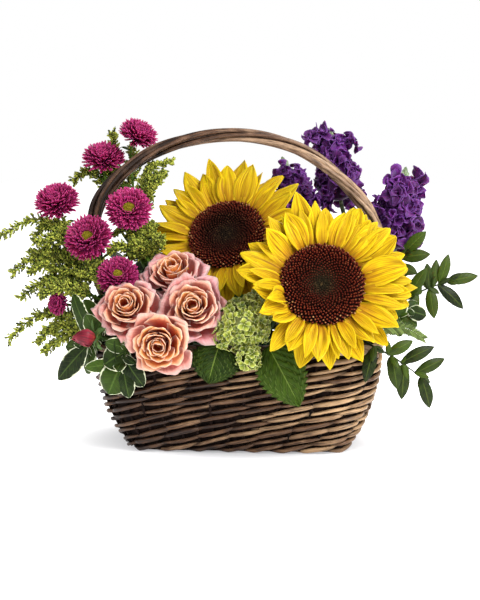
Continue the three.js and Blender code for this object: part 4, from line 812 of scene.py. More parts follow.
pittosporum_green = green_finish("pittosporum_green", "#101C06", "#3C5416", "#607C34", "#DDE2BE", 0.5,
                                 0.14)
myrtle_green = green_finish("myrtle_green", "#0B1602", "#36490A", "#627424", None, 0.45, 0.16, 7)
backing_green = green_finish("backing_green", "#102206", "#2A4610", "#4E6C2C", None, 0.5, 0.14)
hydrangea_green = green_finish("hydrangea_green", "#0A1802", "#3C540C", "#86A044", None, 0.55, 0.12,
                               7, 0.45, 0.55, 0.035)
fern_green = green_finish("fern_green", "#3A4C1E", "#748846", "#9CAC6C", None, 0.5, 0.14)
goldenrod_beads = green_finish("goldenrod_beads", "#1C2A0A", "#B2B846", "#D0D478", None, 0.7, 0.2, 3)
stem_green = green_finish("stem_green", "#2C440E", "#5C7A22", "#86A050", None, 0.5, 0.14, 3, 0.2)
sepal_green = green_finish("sepal_green", "#2A4618", "#587834", "#7C9A50", None, 0.6, 0.3, 5)
bud_green = green_finish("bud_green", "#5A6C46", "#93A57C", "#7C5C94", None, 0.6, 0.3, 3)
print("green finishes ready")

# %% [markdown]
# ## Sunflowers
# A sunflower head is a wheel. Broad ray petals stand in layers round a dark seed disc, and behind
# it a green cup of pointed bracts joins the thick stem. The petals repeat the chances that placed
# those of the measured solids, so each one lies where its solid does, and a few narrower ones stand
# between them. The topmost petals lean towards the eye, as a heavy head lets them, and on the right
# of the front flower a fan of broad petals fills the round. The disc is built as a real one grows:
# hundreds of florets, each one 137.5 degrees further round than the last, long and rust brown
# outside, short and dark in the middle.

# %% Sunflower petals
SUNFLOWERS = {
    "sunflower_front": dict(at=(78, -91, 156), facing=(0.12, -0.88, 0.45), disc=37.5, tip=81, seed=3,
                            hole=(52, -34), bent={}, olive=0.0),
    "sunflower_back": dict(at=(-10.5, -24, 194), facing=(-0.15, -0.78, 0.6), disc=35.5, tip=78, seed=8,
                           hole=(-6, 2), bent={(0, 11): (-0.45, 0.92), (1, 10): (-0.22, 1)}, olive=0.35),
}
PETALS = 17  # in each of the two layers, and as many narrow ones between them


def bump(angle, middle, width):
    """1 at one angle of a head, fading to 0 on both sides of it."""
    return math.exp(-((angle - middle + math.pi) % (2 * math.pi) - math.pi) ** 2 / width)


for name, flower in SUNFLOWERS.items():
    chance, luck, head = same_chances(flower["seed"]), np.random.default_rng(flower["seed"]), Skin()
    at, facing, size = flower["at"], flower["facing"], flower["disc"]
    whole, front = flower["tip"] - size, name == "sunflower_front"
    for layer in range(2):
        for k in range(PETALS):
            angle = 2 * math.pi / PETALS * (k + layer / 2 + (next(chance) - 0.5) * 0.14)
            bend, share = flower["bent"].get((layer, k), (0, 1))
            rise = (-0.06, 0.12)[layer] + (next(chance) - 0.5) * 0.24 + bend
            length = whole * share * mix(0.84, 1.06, next(chance)) * (1, 0.92)[layer] + 3
            upper = max(0.0, math.sin(angle))
            top = 0.02 if front and not 1.8 < angle < 2.3 else 0.14
            length, rise = length * (1 + top * upper), rise + 0.26 * upper
            right, curled = front * bump(angle, 0.1, 0.2), front * bump(angle, 3.55, 0.2)
            length, rise = length * (1 + 0.1 * right - 0.15 * curled), rise + 0.75 * curled
            if not front and 3.3 < angle < 4.4:
                length *= 0.8
            fan = math.exp(-(angle - 0.5) ** 2 / 0.55) * front
            grid = petal(length, luck.uniform(8.0, 11.0) * (1 + 0.3 * fan), OVAL if fan > 0.5 else LANCE,
                         17, 13, luck.uniform(-0.05, 0.1), luck.uniform(-0.15, 0.4),
                         luck.uniform(-0.2, 0.14), luck.uniform(-0.7, 0.7), 0.2, 0.7,
                         luck.uniform(0, 6))
            grid = ray(grid, size - 3, (1.2, 2.4)[layer], rise, angle, at, facing)
            head.sheet(grid, 0.8, min(1, flower["olive"] + luck.uniform(0, 0.5)))
    for k in range(PETALS):
        angle = 2 * math.pi / PETALS * (k + luck.uniform(-0.35, 0.35))
        if not front and 3.1 < angle < 4.6:
            continue
        grid = petal(whole * luck.uniform(0.75, 0.98), luck.uniform(4.6, 6.4), LANCE, 15, 9, 0.05, 0.35,
                     luck.uniform(-0.15, 0.15), luck.uniform(-0.9, 0.9), 0.14, 0.4, k)
        curled = 0.6 * math.exp(-(angle - 3.55) ** 2 / 0.2)
        rise = luck.uniform(0.16, 0.36) + curled
        grid = ray(grid, size - 2.5, 3.2, rise, angle, at, facing)
        head.sheet(grid, 0.7, min(1, flower["olive"] + luck.uniform(0, 0.6)))
    for angle in np.arange(-0.1, 1.3, 0.16) if front else ():
        grid = petal(whole * luck.uniform(0.98, 1.1), luck.uniform(6.5, 8.5), OVAL, 17, 11, 0.05, 0.2,
                     luck.uniform(-0.1, 0.05), luck.uniform(-0.4, 0.4), 0.2, 0.6, angle)
        rise = luck.uniform(0.02, 0.14) + 0.2 * math.sin(angle)
        grid = ray(grid, size - 2.5, 2.0, rise, angle, at, facing)
        head.sheet(grid, 0.7, luck.uniform(0.2, 0.7))
    head.build(name + "_ray_petals", sun_petal, "sunflower_petal", name + "_petals")

# %% Sunflower discs
def seed_finish(name, shaded):
    """Florets from near black in the middle to rust outside, with pollen on their tips there."""
    finish = Finish(name, rough=0.85, gloss=0.06)
    _, up = finish.place()
    share_out = finish.tone()
    core = finish.ramp(up, (0.0, "#050301"), (0.6, "#110D08"), (1.0, "#211B0E"))
    middle = finish.ramp(up, (0.0, "#120404"), (0.6, "#340E08"), (1.0, "#561E12"))
    outer = finish.ramp(up, (0.0, "#180606"), (0.55, "#3E0E0C"), (0.9, "#602014"), (1.0, "#783A1E"))
    colour = finish.blend(finish.ramp(share_out, (0.14, 0.0), (0.42, 1.0)), core, middle)
    colour = finish.blend(finish.ramp(share_out, (0.6, 0.0), (0.8, 1.0)), colour, outer)
    inner_shade = finish.ramp(share_out, (0.5, shaded), (0.98, 0.0))
    colour = finish.blend(inner_shade, colour, "#140A06")
    pollen = finish.ramp(finish.noise(420), (0.54, 0.0), (0.66, 1.0))
    dusted = finish.times(pollen, finish.math("POWER", up, 3))
    rim_only = finish.ramp(share_out, (0.8, 0.08), (0.94, 0.9))
    colour = finish.blend(finish.times(dusted, rim_only), colour, "#DCAE72")
    return finish.done(colour, finish.noise(900), 0.5, 0.3)


SEEDS = 780
DOME = np.array(((0, 4), (0.22, 4.6), (0.4, 5.6), (0.57, 7), (0.74, 6.4), (0.9, 5.4), (1, 2.6)))
for name, flower in SUNFLOWERS.items():
    luck, disc = np.random.default_rng(flower["seed"] + 1), Skin()
    at, facing, size = flower["at"], flower["facing"], flower["disc"]
    rounds = [(h + 2.4, s * size) for s, h in DOME[::-1]]
    spin_solid(disc, [(0.4, size * 0.86), (1.5, size * 0.97), *rounds[:-1], (6.4, 0.4)],
               at, facing, 48, 0.1)
    for k in range(SEEDS):
        share = math.sqrt((k + 0.5) / SEEDS)
        height = 2.3 + np.interp(share, DOME[:, 0], DOME[:, 1])
        grown_up = np.interp(share, (0, 0.35, 0.5, 0.85, 1), (0.9, 1.2, 2.6, 3.4, 2.4))
        lean = np.interp(share, (0, 0.4, 0.8, 1), (-0.3, -0.35, 0.15, 0.8)) + luck.uniform(-0.12, 0.12)
        out = spoke(k * GOLDEN_ANGLE)
        way = unit(out * lean + (*luck.uniform(-0.12, 0.12, 2), 1))
        start = out * share * size * 0.985 + np.array((0, 0, height - 0.6))
        steps = np.array((0, 0.55, 1.0, 1.2))[:, None] * (grown_up + 0.6) * luck.uniform(0.85, 1.2)
        width = np.array((0.95, 1.05, 0.8, 0.3)) * (0.85 + 0.35 * share)
        disc.tube(placed(start + steps * way, at, facing), width, 5, share)
    florets = seed_finish(name + "_florets", 0.75 if name == "sunflower_back" else 0.0)
    disc.build(name + "_seed_disc", florets, "sunflower_disc", name + "_disc")

# %% [markdown]
# ## Roses
# An open spray rose is a spiral. The inner petals stand upright and wrap round each other; each
# later one opens wider and lower, and the outermost roll their rims back. Every petal here is part
# of a cup whose rim radius and height follow how open it is, with one edge tucked inside its
# neighbour. The inner petals are salmon and the outer ones fade to blush.

# %% Rose petals
ROSES = {
    "rose_right": ((-36, -99, 137.5), (0.06, -0.93, 0.36), 31, 12, 0.0),
    "rose_bottom": ((-64, -122, 107), (0, -1, -0.12), 29, 14, -0.42),
    "rose_left": ((-97, -91, 137.5), (-0.05, -0.88, 0.46), 28, 13, -0.1),
    "rose_top": ((-58, -62, 167), (-0.08, -0.68, 0.73), 29.5, 11, 0.1),
}


def rose_base(name):
    """Where the rose's cup of sepals ends and its petals start."""
    at, facing, radius, _, _ = ROSES[name]
    return np.array(at) - unit(facing) * 0.5 * radius


def rose_petal(radius, opened, luck, pointed=0.0):
    """One petal of the spiral, around +x. opened is 0 for the innermost and 1 for the outermost."""
    v = np.linspace(0, 1, 14)[:, None]
    s = np.linspace(-1, 1, 13)[None, :]
    rim = radius * (0.1 + 0.86 * opened) * luck.uniform(0.95, 1.05)
    top = radius * np.interp(opened, (0, 0.25, 0.5, 0.75, 1), (0.98, 0.94, 0.85, 0.67, 0.42))
    foot = radius * mix(0.05, 0.2, opened)
    belly = max(rim * mix(1.35, 0.98, opened), radius * 0.3)
    reach = foot * (1 - v) ** 2 + 2 * belly * v * (1 - v) + rim * v ** 2
    middle = top * mix(0.62, 0.3, opened)
    height = 2 * middle * v * (1 - v) + top * v ** 2
    roll = np.clip((v - 0.74) / 0.26, 0, 1)
    reach = reach + radius * mix(0.03, 0.15, opened) * roll ** 2
    height = height - radius * mix(0.02, 0.2, opened) * roll ** 2.2
    wide = mix(1.5, 0.68, opened ** 0.6) * luck.uniform(0.88, 1.1)
    tip = mix(0.62, 0.08, pointed)
    wide = wide * np.interp(v, (0, 0.3, 0.6, 0.85, 1), (0.5, 0.85, 1, mix(0.96, 0.6, pointed), tip))
    rounding = 1 - mix(0.08, 0.16, opened) * s ** 2 * v ** 2
    ruffle = np.sin(3.5 * s + luck.uniform(0, 6)) + 0.5 * np.sin(8 * s + luck.uniform(0, 6))
    ruffle = radius * mix(0.015, 0.05, opened) * ruffle * v ** 3
    reach = (reach + ruffle) * (1 + 0.09 * s) * (1 - 0.13 * opened * s ** 2 * v ** 3)
    height = height * rounding + ruffle * 0.8 + radius * 0.07 * luck.uniform(-1, 1) * v
    angle = wide * s
    return np.stack((reach * np.cos(angle), reach * np.sin(angle), height + 0 * s), -1)


ROSE_PETALS = 24
LOOSE_PETALS = {
    "rose_bottom": ((1.2, -1.0, 0), (1.08, 2.95, 0.1), (1.0, 2.0, 0), (1.0, 0.6, 0), (1.0, -2.3, 0)),
    "rose_left": ((1.16, 3.05, 0.8), (1.12, -1.65, 0.85), (1.16, -0.1, 0.1), (1.12, 0.75, 0.2),
                  (1.04, -2.4, 0.2), (1.04, -0.8, 0.2), (1.0, 2.0, 0)),
    "rose_right": ((1.08, 2.9, 0), (1.1, 0.95, 0), (1.08, 1.9, 0), (1.06, -0.1, 0), (1.12, -1.1, 0.1),
                   (1.06, -2.1, 0.1)),
    "rose_top": ((1.1, 1.15, 0), (1.12, 1.95, 0), (1.1, 0.3, 0), (1.08, 2.8, 0), (1.0, -1.6, 0),
                 (1.0, -0.5, 0), (0.92, 0.75, 0), (0.92, -0.1, 0)),
}
for name, (at, facing, radius, seed, ochre) in ROSES.items():
    luck, rose = np.random.default_rng(seed), Skin()
    core = [(0.2, radius * 0.2), (radius * 0.25, radius * 0.2), (radius * 0.42, radius * 0.05)]
    spin_solid(rose, core, rose_base(name), facing, 12, 0.1)
    for k in range(ROSE_PETALS):
        opened = 0.93 * (k / (ROSE_PETALS - 1)) ** 1.1
        grid = rose_petal(radius * 0.92, opened, luck)
        spin = k * GOLDEN_ANGLE + luck.uniform(-0.2, 0.2) + seed
        tone = np.clip(opened * 1.35 - 0.35 + ochre + luck.uniform(-0.12, 0.12), 0, 1)
        rose.sheet(placed(grid, rose_base(name), facing, spin), 0.5, tone)
    for size, spin, pointed in LOOSE_PETALS[name]:
        grid = rose_petal(radius * 0.93 * size, 0.97, luck, pointed)
        grid[..., 2] -= radius * 0.1
        tone = luck.uniform(0.8, 1) + ochre * 0.7
        rose.sheet(placed(grid, rose_base(name), facing, spin), 0.55, tone)
    rose.build(name + "_spiral", rose_blush, "rose_petal", name + "_petals")

# %% Rosebud
BUD_AT, BUD_FACING, BUD_LENGTH = (-127, -85, 108.5), (-0.85, -0.47, -0.06), 21.0
luck, bud = np.random.default_rng(5), Skin()
spin_solid(bud, [(0.3, 2.6), (5, 6.2), (11, 6.6), (17, 3.2)], BUD_AT, BUD_FACING, 12, 0.2)
WRAPPED = ((0.94, 0.1), (1, 0.9), (0.9, 0.4), (0.97, 0.7), (0.86, 0.0), (0.92, 1.0))
v = np.linspace(0, 1, 12)[:, None]
s = np.linspace(-1, 1, 9)[None, :]
for k, (share, tone) in enumerate(WRAPPED):
    length = BUD_LENGTH * share
    grow = 1 - 0.07 * (5 - k)
    reach = np.interp(v, (0, 0.2, 0.45, 0.7, 0.88, 1), (3.2, 6.6, 8.3, 7.0, 4.2, 2.4)) * grow
    angle = mix(1.0, 1.25, v) * s + 0.8 * v
    reach = reach * (1 + 0.13 * s) + (0.35 * k - 1) * v ** 3
    height = length * v * (1 - 0.16 * s ** 2)
    grid = np.stack((reach * np.cos(angle), reach * np.sin(angle), height), -1)
    bud.sheet(placed(grid, BUD_AT, BUD_FACING, k * 2.4), 0.6, tone)
bud.build("rosebud_wrapped_petals", bud_crimson, "bud_petal", "rosebud_petals")

# %% [markdown]
# ## Magenta asters
# An aster is a small wheel of many narrow rays in several rounds, each steeper and shorter than the
# one outside it, round a button of yellow-green florets. All of them are built the same way. The
# fullest ones are still closed in the middle, so extra steep rays cover the button.

# %% Aster rays and centres
ASTERS = {
    "aster_front_upper": ((-102.5, -31.5, 219), (0.15, -0.85, 0.5), 21, 5.8),
    "aster_front_middle": ((-137, -47, 193), (-0.1, -0.8, 0.55), 21.5, 5.9),
    "aster_front_lower": ((-109.5, -55, 158.5), (0.1, -0.75, 0.65), 19, 5.3),
    "aster_left": ((-172, -14, 224), (-0.1, -0.62, 0.78), 20.5, 0),
    "aster_low_left": ((-163, -50, 134), (-0.6, -0.75, 0.2), 11.5, 0),
    "aster_back_top": ((-104, 41, 286), (0.45, -0.45, 0.77), 18.5, 0),
    "aster_back": ((-136.5, 40, 263), (0.05, -0.5, 0.86), 20, 0),
}
SHADED = {"aster_front_middle": 0.35, "aster_front_lower": 0.5, "aster_low_left": 0.4}
RAYS = ((-0.1, 1.1, 42, 0.8), (0.06, 1.13, 42, 1.4), (0.24, 1.12, 40, 2.0), (0.44, 1.05, 38, 2.6),
        (0.66, 0.94, 34, 3.1), (0.9, 0.78, 28, 3.5), (1.12, 0.58, 20, 3.8))
BUTTON_FLORETS = 120
STEEP_RAYS = ((1.25, 0.52, 14, 3.8), (1.42, 0.46, 9, 3.8))
pollen_finish = Finish("aster_button", rough=0.9, gloss=0.2)
_, up_floret = pollen_finish.place()
pollen_colour = pollen_finish.ramp(up_floret, (0.0, "#3A360C"), (0.5, "#6F6612"), (1.0, "#A39424"))
pollen_material = pollen_finish.done(pollen_colour, pollen_finish.noise(1500), 0.5, 0.2)
for number, (name, (at, facing, radius, button)) in enumerate(ASTERS.items()):
    luck, head = np.random.default_rng(60 + number), Skin()
    spin_solid(head, [(0.1, 2.0), (1.4, 3.6), (3.0, radius * 0.24), (3.6, 0.5)], at, facing, 12, 0.1)
    for rise, share, count, height in RAYS + (() if button else STEEP_RAYS):
        for k in range(count):
            angle = 2 * math.pi * (k + luck.uniform(-0.3, 0.3)) / count + rise * 9
            tilt = rise + luck.uniform(-0.12, 0.12) + (0.25 if radius < 15 else 0)
            foot = 2.4 if rise < 0.6 or not button else radius * 0.2
            grid = petal(radius * share * luck.uniform(0.92, 1.02) - foot, radius * 0.06, STRAP, 8, 3,
                         luck.uniform(-0.05, 0.03), 0.7, luck.uniform(0.06, 0.22),
                         luck.uniform(-0.4, 0.4))
            head.sheet(ray(grid, foot, height, tilt, angle, at, facing), 0.5,
                       luck.uniform(0, 1) * SHADED.get(name, 1))
    head.build(name + "_rays", aster_magenta, "aster_petal", name + "_petals")
    if button:
        centre = Skin()
        seat = np.array(at) + unit(facing) * button
        spin_solid(centre, [(3.4 - button, radius * 0.2), (0.0, radius * 0.28), (1.3, radius * 0.24),
                            (1.9, 0.5)], seat, facing, 16, 0.2)
        for k in range(BUTTON_FLORETS):
            share, out = math.sqrt((k + 0.5) / BUTTON_FLORETS), spoke(k * GOLDEN_ANGLE)
            start = out * share * radius * 0.3 + np.array((0, 0, 1.8 - 1.5 * share ** 2.5))
            way = unit(out * 0.5 * share + np.array((0, 0, 1)))
            steps = np.array((-0.4, 0.6, 1.1))[:, None] * luck.uniform(0.8, 1.5)
            centre.tube(placed(start + steps * way, seat, facing), (0.5, 0.55, 0.2), 5, 0.5)
        centre.build(name + "_button", pollen_material, "aster_centre", name + "_centre")

# %% [markdown]
# ## Stock
# Stock carries double, ruffled florets all round an upright spike, largest at the foot, with tight
# green buds at the tip. Each floret is three small rounds of waved petals on the outside of the
# spike, so that the dark folds between them give the deep violet its texture. A few outer florets
# stand off on short stalks, where a spike is wider than its own rounds.

# %% Stock spikes
STOCKS = {
    "stock_middle": ((83, 64, 283), (93, 54, 228), 25, 24, (66, 26)),
    "stock_left": ((41, 43, 256), (58, 38, 212), 22, 20, (36, 22)),
    "stock_right": ((154, 36, 246), (146, 26, 184), 27.5, 26, (80, 14)),
}
OUTER_FLORETS = {"stock_middle": ((67, 58, 286), (77, 56, 289), (102, 56, 281)),
                 "stock_left": ((52, 36, 250),), "stock_right": ((131, 28, 222), (130, 30, 206))}
FLORET_ROUNDS = ((0.1, 1.0, 5), (0.6, 0.8, 4), (1.1, 0.55, 3))
for number, (name, (top, foot, radius, count, _)) in enumerate(STOCKS.items()):
    luck, spike = np.random.default_rng(31 + number), Skin()
    top, foot = np.array(top, float), np.array(foot, float)
    axis = unit(top - foot)
    steps = np.linspace(-0.02, 0.97, 8)[:, None]
    spike.tube(foot + (top - foot) * steps, radius * np.linspace(0.36, 0.26, 8), 9, 0.1)
    for k in range(count + len(OUTER_FLORETS[name])):
        t = (k + 0.5) / count * 1.08 - 0.08
        out = aside(axis, k * GOLDEN_ANGLE + luck.uniform(-0.2, 0.2))
        at = foot + (top - foot) * t + out * radius * mix(0.54, 0.38, t) * luck.uniform(0.7, 1.2)
        if k >= count:
            t, at = 0.9, np.array(OUTER_FLORETS[name][k - count], float)
            out = unit(at - foot - (top - foot) * t)
            spike.tube(np.stack((foot + (top - foot) * t, at)), 1.2, 6, 0.1)
        size = radius * mix(0.68, 0.52, t) * luck.uniform(0.8, 1.12)
        mood, lean = luck.uniform(0, 0.95) ** 1.9, luck.uniform(-0.5, 0.5, 3)
        for rise, share, petals in FLORET_ROUNDS:
            for j in range(petals):
                grid = petal(size * share * luck.uniform(0.75, 1.1), size * 0.38 * share ** 0.5, BROAD,
                             9, 9, luck.uniform(-0.05, 0.15), luck.uniform(-0.2, 0.7),
                             luck.uniform(-0.5, 0.3), luck.uniform(-0.9, 0.9), 0.45, 0,
                             luck.uniform(0, 6))
                spin = 2 * math.pi * (j + luck.uniform(-0.2, 0.2)) / petals + rise * 5
                tilt = rise + luck.uniform(-0.25, 0.25)
                grid = ray(grid, 0.6, 0.5, tilt, spin, at, out + axis * 0.35 + lean)
                spike.sheet(grid, 0.5, mood + luck.uniform(0, 0.25))
    spike.build(name + "_ruffled_florets", stock_violet, "stock_petal", name + "_blooms")

# %% [markdown]
# ## Hydrangea
# The green head is one large rounded mass of small florets with three small ones at its edge, the
# lowest hanging over the rim. Each floret is four pointed petals round a bead. Every floret tilts
# its own way and stands at its own height, so dark gaps open between them, as on the real head.

# %% Hydrangea florets
HYDRANGEA_AT, HYDRANGEA_FACING = (8.7, -81.4, 115.8), (0.02, -0.9, 0.44)
CLUSTERS = (((10, -94, 122), 23.5, 68), ((15, -107, 94), 9.5, 20), ((20, -88, 136), 12, 24),
            ((-5, -98, 111), 11, 20))
POINTED = ((0, 0.2), (0.2, 0.5), (0.5, 0.95), (0.7, 1), (0.88, 0.62), (1, 0.08))
luck, cluster = np.random.default_rng(41), Skin()
for centre, radius, count in CLUSTERS:
    spin_solid(cluster, [(-0.6 * radius, radius * 0.32), (-0.3 * radius, radius * 0.68),
                         (0.3 * radius, radius * 0.6), (0.6 * radius, radius * 0.3)],
               centre, HYDRANGEA_FACING, 16, 0.0)
    for k in range(count):
        z = 1 - 1.42 * (k + 0.5) / count  # the florets reach a little round behind
        out = spoke(k * GOLDEN_ANGLE) * math.sqrt(1 - z * z) + np.array((0, 0, z))
        out = placed(out, (0, 0, 0), HYDRANGEA_FACING)
        at = np.array(centre) + out * radius * luck.uniform(0.76, 1.08)
        mood, wide = luck.uniform(0, 1), luck.uniform(0.75, 1.15)
        way = unit(out + luck.uniform(-0.45, 0.45, 3))
        for j in range(4):
            grid = petal(wide * luck.uniform(4.8, 6.6), wide * luck.uniform(2.3, 2.9), POINTED, 7, 5,
                         0.06, luck.uniform(0, 0.4), luck.uniform(-0.2, 0.15),
                         luck.uniform(-0.3, 0.3), 0.2, 0, j)
            rise, spin = luck.uniform(0.0, 0.45), j * math.pi / 2 + k
            cluster.sheet(ray(grid, 0.3, 0.2 * (j % 2), rise, spin, at, way), 0.45,
                          mood * 0.75 + luck.uniform(0, 0.25))
        bead(cluster, at + way * 0.7, way, 0.8, mood, 1.0)
neck = curve_through((CLUSTERS[0][0], (12, -100, 107), CLUSTERS[1][0]), 4)
cluster.tube(neck, 5, 8, 0.0)
cluster.build("hydrangea_four_petal_florets", hydrangea_lime, "hydrangea_floret", "hydrangea_florets")

# %% [markdown]
# ## Goldenrod
# Each spray divides into a few arching plumes, with shorter ones between them. Along a plume short
# side branches stand close together, shorter towards the tip, and every one is lined with small
# yellow-green buds. The buds are what the eye sees, so there are thousands of them, each a few faces.

# %% Goldenrod plumes
GOLDENRODS = {
    "goldenrod_left_top": ((-128, -24, 172), (-80, -2), (
        ((-160, -22, 192), (-192, -18, 210), (-225, -20, 194)),
        ((-150, -20, 190), (-168, -14, 206), (-184, -8, 203)),
        ((-150, -26, 186), (-170, -30, 192), (-190, -34, 190)),
    )),
    "goldenrod_left_middle": ((-130, -30, 160), (-72.2, -4.5), (
        ((-158, -28, 170), (-186, -26, 178), (-213, -26, 160)),
        ((-156, -22, 176), (-178, -16, 182), (-197, -12, 178)),
        ((-160, -36, 164), (-178, -40, 168), (-194, -42, 163)),
        ((-122, -46, 152), (-132, -48, 160), (-146, -50, 164)),
        ((-122, -40, 158), (-130, -42, 170), (-140, -44, 178)),
    )),
    "goldenrod_left_low": ((-132, -48, 140), (-80.7, -29.4), (
        ((-150, -46, 149), (-178, -44, 155), (-202, -44, 139)),
        ((-146, -54, 146), (-162, -60, 150), (-178, -62, 146)),
        ((-150, -40, 152), (-166, -34, 156), (-182, -32, 153)),
    )),
    "goldenrod_left_bottom": ((-128, -50, 118), (-79, -42.5), (
        ((-150, -48, 117), (-184, -45, 123), (-213, -49, 100)),
        ((-148, -54, 108), (-164, -56, 102), (-177, -56, 90)),
        ((-150, -42, 120), (-170, -36, 126), (-188, -34, 120)),
    )),
    "goldenrod_back": ((-126, 58, 214), (-60, 46), (
        ((-128, 70, 244), (-130, 72, 270), (-132, 68, 290)),
        ((-138, 52, 238), (-152, 50, 254), (-167, 46, 244)),
        ((-112, 56, 246), (-110, 62, 262), (-114, 64, 276)),
    )),
    "goldenrod_inner": ((-88, -14, 214), (-54, 0), (
        ((-92, -16, 234), (-82, -14, 258), (-64, -14, 265)),
        ((-84, -22, 232), (-76, -24, 246), (-70, -24, 254)),
        ((-94, -8, 236), (-92, 14, 252), (-86, 20, 262)),
        ((-96, -16, 206), (-108, -18, 204), (-118, -20, 196)),
        ((-88, -18, 204), (-92, -20, 196), (-98, -22, 186)),
    )),
    "goldenrod_middle": ((-88, -26, 170), (-60, -20), (
        ((-90, -30, 186), (-84, -34, 198), (-78, -38, 206)),
        ((-98, -34, 180), (-108, -38, 186), (-119, -38, 184)),
        ((-80, -32, 184), (-74, -40, 190), (-72, -46, 196)),
    )),
}
for number, (name, (start, hole, plumes)) in enumerate(GOLDENRODS.items()):
    luck, spray, stalk = np.random.default_rng(51 + number), Skin(), Skin()
    leaving = unit(np.array(start) - plumes[0][0])
    add_stem(stalk, 1.5, to_foam(name, start, leaving, hole), 0.4)
    bead(stalk, start, (0, 0, 1), 2.2, 0.4, 1.3, 8)
    plumes, start = np.array(plumes, float), np.array(start, float)
    slim = 0.75 if name == "goldenrod_inner" else 1
    shorter = np.array((1, 0.95, 0.85))[:, None]
    between_them = (plumes[1:] + plumes[:-1]) / 2 * shorter + start * (1 - shorter)
    for points in (*plumes, *between_them):
        path = curve_through([start, *points], 44)
        way = np.gradient(path, axis=0)
        way /= np.linalg.norm(way, axis=1, keepdims=True)
        long = len(path) - 1
        stalk.tube(path, np.linspace(1.1, 0.35, len(path)), 7, 0.6)
        for i in range(5, long + 1):
            t = i / long
            for _ in range(4):
                out = aside(way[i], luck.uniform(0, 2 * math.pi))
                reach = mix(10.5, 6.5, t ** 1.2) * slim * luck.uniform(0.55, 1.1)
                aim = unit(out + way[i] * luck.uniform(0.4, 1.2))
                twig = path[i] + np.linspace(0, 1, 4)[:, None] * reach * aim
                twig[:, 2] += 0.12 * reach * np.linspace(0, 1, 4) ** 2
                stalk.tube(twig, 0.28, 4, 0.7)
                for along in np.arange(0.2, 1.01, 1.6 / reach):
                    at = path[i] + along * reach * aim + luck.uniform(-0.6, 0.6, 3)
                    bead(spray, at, aim + luck.uniform(-0.6, 0.6, 3), luck.uniform(0.65, 1.1),
                         luck.uniform(0, 1.25) * mix(0.5, 1, along), 1.5)
    for i in range(3):  # small leaves at the foot of the plumes
        root = path[3 + 3 * i]
        stalk.sheet(leaf(root, root + np.array((-7 + 7 * i, -8, 9 - 8 * i)), 1.8, (0, -0.5, 1),
                         outline=LANCE, arch=0.08), 0.35, 0.4)
    spray.build(name + "_plumes", goldenrod_beads, "goldenrod_plume", name)
    stalk.build(name + "_stalk", stem_green, "goldenrod_plume")

# %% [markdown]
# ## Leafy branches
# Pittosporum has small waved leaves with cream margins, myrtle has glossy pointed ones, and plain
# dark greenery closes the back and fills the space between the stems, so that no foam shows. A
# branch is a tube with its large leaves at chosen places. Each leaf gets its own arch, cup and
# curl, and small extra leaves fill in between, as on a real twig. The plain greenery also stands
# in upright shoots at chosen places on the foam.

